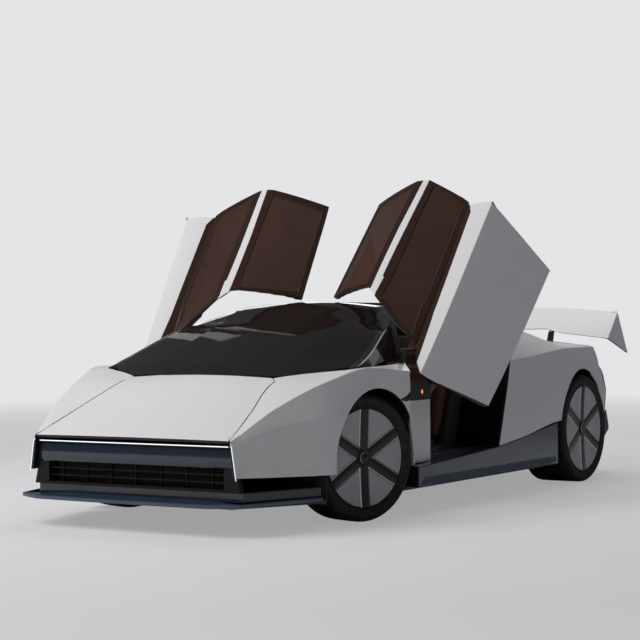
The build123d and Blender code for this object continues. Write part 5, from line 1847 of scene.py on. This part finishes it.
def gear_details():
    """Boots on the half shafts, ball joint nuts on the arms, and their bushes."""
    bm = bmesh.new()
    for side in (-1, 1):
        for start, way in ((0.222, 1), (0.790, -1)):
            matrix = Matrix.Translation((side * start, AXLE_SPOT,
                                         AXLE_HEIGHT)) @ Matrix.Diagonal((side * way, 1, 1, 1))
            profile = [(0.0, 0.0), (0.0, 0.060)]
            for k in range(6):
                r = 0.060 - 0.0035 * k
                profile += [(0.008 + 0.014 * k, r), (0.014 + 0.014 * k, r - 0.007)]
            lathe(bm, profile + [(0.096, 0.0355), (0.100, 0.0)], 40, matrix, zone=lambda i, j: 1)
        for z in (0.199, 0.519):
            bolt(bm, (side * 0.803, -1.305, z), (0, 0, 1), 0.011)
        for y in (-1.375, -1.235):
            for z in (0.189, 0.509):
                matrix = Matrix.Translation((side * 0.5275, y, z)) @ Matrix.Diagonal((side, 1, 1, 1))
                lathe(bm, ((0.0, 0.0), (0.0, 0.0175), (0.004, 0.0185), (0.030, 0.0185), (0.034, 0.0175),
                           (0.034, 0.0)),
                      24, matrix, zone=lambda i, j: 1)
    return tidy(bm)


DRESSED = (
    # node, finish, slot, rounding
    ("tub", "carbon", "carbon", 0.004), ("underbody", "carbon", "carbon", 0.004),
    ("wheel_liners", "moulded", "carbon", 0.003), ("front_arms", "cast", "steel", 0.004),
    ("front_left_knuckle", "cast", "steel", 0.003), ("front_right_knuckle", "cast", "steel", 0.003),
    ("rear_axle", "steel", "steel", 0.003), ("drive_unit", "cast", "machine", 0.012),
    ("battery_pack", "anodised", "machine", 0.010),
)


class SUPERCAR_OT_running_gear(bpy.types.Operator):
    """Tub, liners, suspension, drive unit and battery with their fins, boots and bolts"""
    bl_idname = "supercar.running_gear"
    bl_label = "Running gear"

    def execute(self, context):
        for node, key, slot, width in DRESSED:
            dress(node, key, width)
        for name, mesh, keys, slot in (
            ("drive_fins", drive_fins(), ("cast",), "machine"),
            ("battery_ribs", battery_ribs(), ("anodised", "steel"), "machine"),
            ("gear_details", gear_details(), ("steel", "seal"), "steel"),
        ):
            place(even_shading(new_object(name, mesh, keys)), "body", ())
        return {"FINISHED"}


# ------------------------------------------------------------------ studio
CAMERA_AT = Vector((5.7792, -9.394, 1.0839))
CAMERA_TURN = tuple(math.radians(a) for a in (32.62, -0.12, -0.53))   # azimuth, elevation, roll
FOCAL_SHARE = 1727.4 / 640      # focal length over the width of the view
SENSOR = 0.036
FAR_CLIP = 200                  # metres, the camera's furthest sight
FLOOR_SEGMENTS = 96


PALE = (0.78, 0.78, 0.795, 1)   # what the camera sees of the backdrop
AIR = (0.78, 0.80, 0.88, 1)     # light from all round
AIR_STRENGTH = 0.11
FLOOR_GLOW = (0.44, 1.0)        # share of backdrop in the floor's look, near the car and far off
FLOOR_FADE = (4.5, 15.0)
LAMPS = (
    # name, place, aim, size, power, colour, mirrored in glossy surfaces
    ("key_overhead", (-3.8, -5.6, 6.4), (0.0, -0.5, 0.5), (5.0, 6.0), 640, (1.0, 0.985, 0.965), False),
    ("rim_left", (7.0, 2.5, 3.2), (0.6, 0.4, 0.6), (4.0, 2.5), 26, (0.90, 0.92, 1.0), False),
    ("tail_overhead", (-0.5, 3.0, 5.5), (0.0, 1.2, 0.8), (4.0, 4.0), 150, (1, 1, 1), False),
    ("front_fill", (2.0, -9.0, 3.0), (0.0, -1.6, 0.5), (6.0, 2.0), 34, (0.96, 0.97, 1.0), True),
    ("rear_fill", (-4.5, 7.5, 3.5), (0.0, 1.8, 0.6), (5.0, 2.0), 60, (1, 1, 1), True),
)


def seen_share(tree):
    """1 for rays straight from the camera or through glass, 0 for light that bounces."""
    rays = tree.nodes.new("ShaderNodeLightPath")
    either = tree.nodes.new("ShaderNodeMath")
    either.operation = "MAXIMUM"
    tree.links.new(rays.outputs["Is Camera Ray"], either.inputs[0])
    tree.links.new(rays.outputs["Is Transmission Ray"], either.inputs[1])
    return either.outputs[0]


def studio_paper():
    """Matt floor that fades into the pale backdrop with distance."""
    made = Finish("studio_paper", (0.60, 0.60, 0.61), 0.9)
    made.coloured(made.noise(1.4, 6.0), (0.58, 0.58, 0.59), (0.62, 0.62, 0.63))
    tree = made.tree
    away = made.node("ShaderNodeVectorMath", operation="LENGTH")
    made.link(made.place, away.inputs[0])
    share = made.sum(made.stepped(away.outputs["Value"], *FLOOR_FADE, *FLOOR_GLOW), seen_share(tree),
                     "MULTIPLY")
    glow = made.node("ShaderNodeEmission")
    glow.inputs["Color"].default_value = PALE
    mixed = made.node("ShaderNodeMixShader")
    made.link(share, mixed.inputs[0])
    made.link(made.shader.outputs[0], mixed.inputs[1])
    made.link(glow.outputs[0], mixed.inputs[2])
    made.link(mixed.outputs[0], tree.nodes["Material Output"].inputs["Surface"])
    return made.made


def studio_air():
    """World that lights softly and is seen as the pale backdrop."""
    world = bpy.data.worlds.new("studio_air")
    world.use_nodes = True
    tree = world.node_tree
    soft = tree.nodes["Background"]
    soft.inputs["Color"].default_value = AIR
    soft.inputs["Strength"].default_value = AIR_STRENGTH
    seen = tree.nodes.new("ShaderNodeBackground")
    seen.inputs["Color"].default_value = PALE
    mixed = tree.nodes.new("ShaderNodeMixShader")
    tree.links.new(seen_share(tree), mixed.inputs[0])
    tree.links.new(soft.outputs[0], mixed.inputs[1])
    tree.links.new(seen.outputs[0], mixed.inputs[2])
    tree.links.new(mixed.outputs[0], tree.nodes["World Output"].inputs["Surface"])
    return world


def add_area(name, spot, target, size, power, colour, mirrored):
    """Soft lamp aimed at a spot."""
    light = bpy.data.lights.new(name, "AREA")
    light.shape = "RECTANGLE"
    light.size, light.size_y = size
    light.energy = power
    light.color = colour
    made = bpy.data.objects.new(name, light)
    made.visible_glossy = mirrored
    made.location = spot
    made.rotation_mode = "QUATERNION"
    made.rotation_quaternion = (Vector(target) - Vector(spot)).to_track_quat("-Z", "Y")
    bpy.context.scene.collection.objects.link(made)
    return made


class SUPERCAR_OT_stage(bpy.types.Operator):
    """Pale studio floor and backdrop, soft lamps and the camera"""
    bl_idname = "supercar.stage"
    bl_label = "Stage"

    def execute(self, context):
        scene = context.scene
        half = sizes().floor_size / 2
        bm = bmesh.new()
        rings = [[bm.verts.new((r * math.cos(a), r * math.sin(a), 0.0)) for a in
                  [2 * math.pi * k / FLOOR_SEGMENTS for k in range(FLOOR_SEGMENTS)]]
                  for r in (0.01, half * 0.2, half * 0.5, half)]
        add_ring_faces(bm, rings, caps=False)
        floor = new_object("studio_floor", bm, ())
        floor.data.materials.append(studio_paper())
        scene.world = studio_air()
        for lamp in LAMPS:
            add_area(*lamp)

        azimuth, elevation, roll = CAMERA_TURN
        back = Vector((math.sin(azimuth) * math.cos(elevation), -math.cos(azimuth) * math.cos(elevation),
                       math.sin(elevation)))
        right = Vector((math.cos(azimuth), math.sin(azimuth), 0))
        up = back.cross(right)
        side = right * math.cos(roll) + up * math.sin(roll)
        top = up * math.cos(roll) - right * math.sin(roll)
        lens = bpy.data.cameras.new("viewpoint")
        lens.sensor_width = SENSOR / MM
        lens.lens = FOCAL_SHARE * SENSOR / MM
        lens.clip_end = FAR_CLIP
        camera = bpy.data.objects.new("viewpoint", lens)
        camera.matrix_world = Matrix.Translation(CAMERA_AT) @ Matrix((side, top,
                                                                      back)).transposed().to_4x4()
        scene.collection.objects.link(camera)
        scene.camera = camera
        scene.view_settings.view_transform = "Standard"
        return {"FINISHED"}


# ------------------------------------------------------------------ panel and registration
OPERATORS = (
    SUPERCAR_OT_stage, SUPERCAR_OT_seats, SUPERCAR_OT_body_panels, SUPERCAR_OT_doors, SUPERCAR_OT_wheels,
    SUPERCAR_OT_nose, SUPERCAR_OT_flanks, SUPERCAR_OT_tail, SUPERCAR_OT_cabin, SUPERCAR_OT_running_gear,
)


class SUPERCAR_PT_panel(bpy.types.Panel):
    """Lists the car's building steps"""
    bl_idname = "SUPERCAR_PT_panel"
    bl_label = "Supercar"
    bl_space_type = "VIEW_3D"
    bl_region_type = "UI"
    bl_category = "Supercar"

    def draw(self, context):
        for operator in OPERATORS:
            self.layout.operator(operator.bl_idname)


CLASSES = (SupercarPaint, SupercarSizes, *OPERATORS, SUPERCAR_PT_panel)


def register():
    for cls in CLASSES:
        bpy.utils.register_class(cls)
    bpy.types.Scene.supercar_paint = PointerProperty(type=SupercarPaint)
    bpy.types.Scene.supercar_sizes = PointerProperty(type=SupercarSizes)


def unregister():
    del bpy.types.Scene.supercar_sizes
    del bpy.types.Scene.supercar_paint
    for cls in reversed(CLASSES):
        bpy.utils.unregister_class(cls)


def main():
    register()
    for operator in OPERATORS:
        group, name = operator.bl_idname.split(".")
        getattr(getattr(bpy.ops, group), name)()


if __name__ == "__main__":
    main()
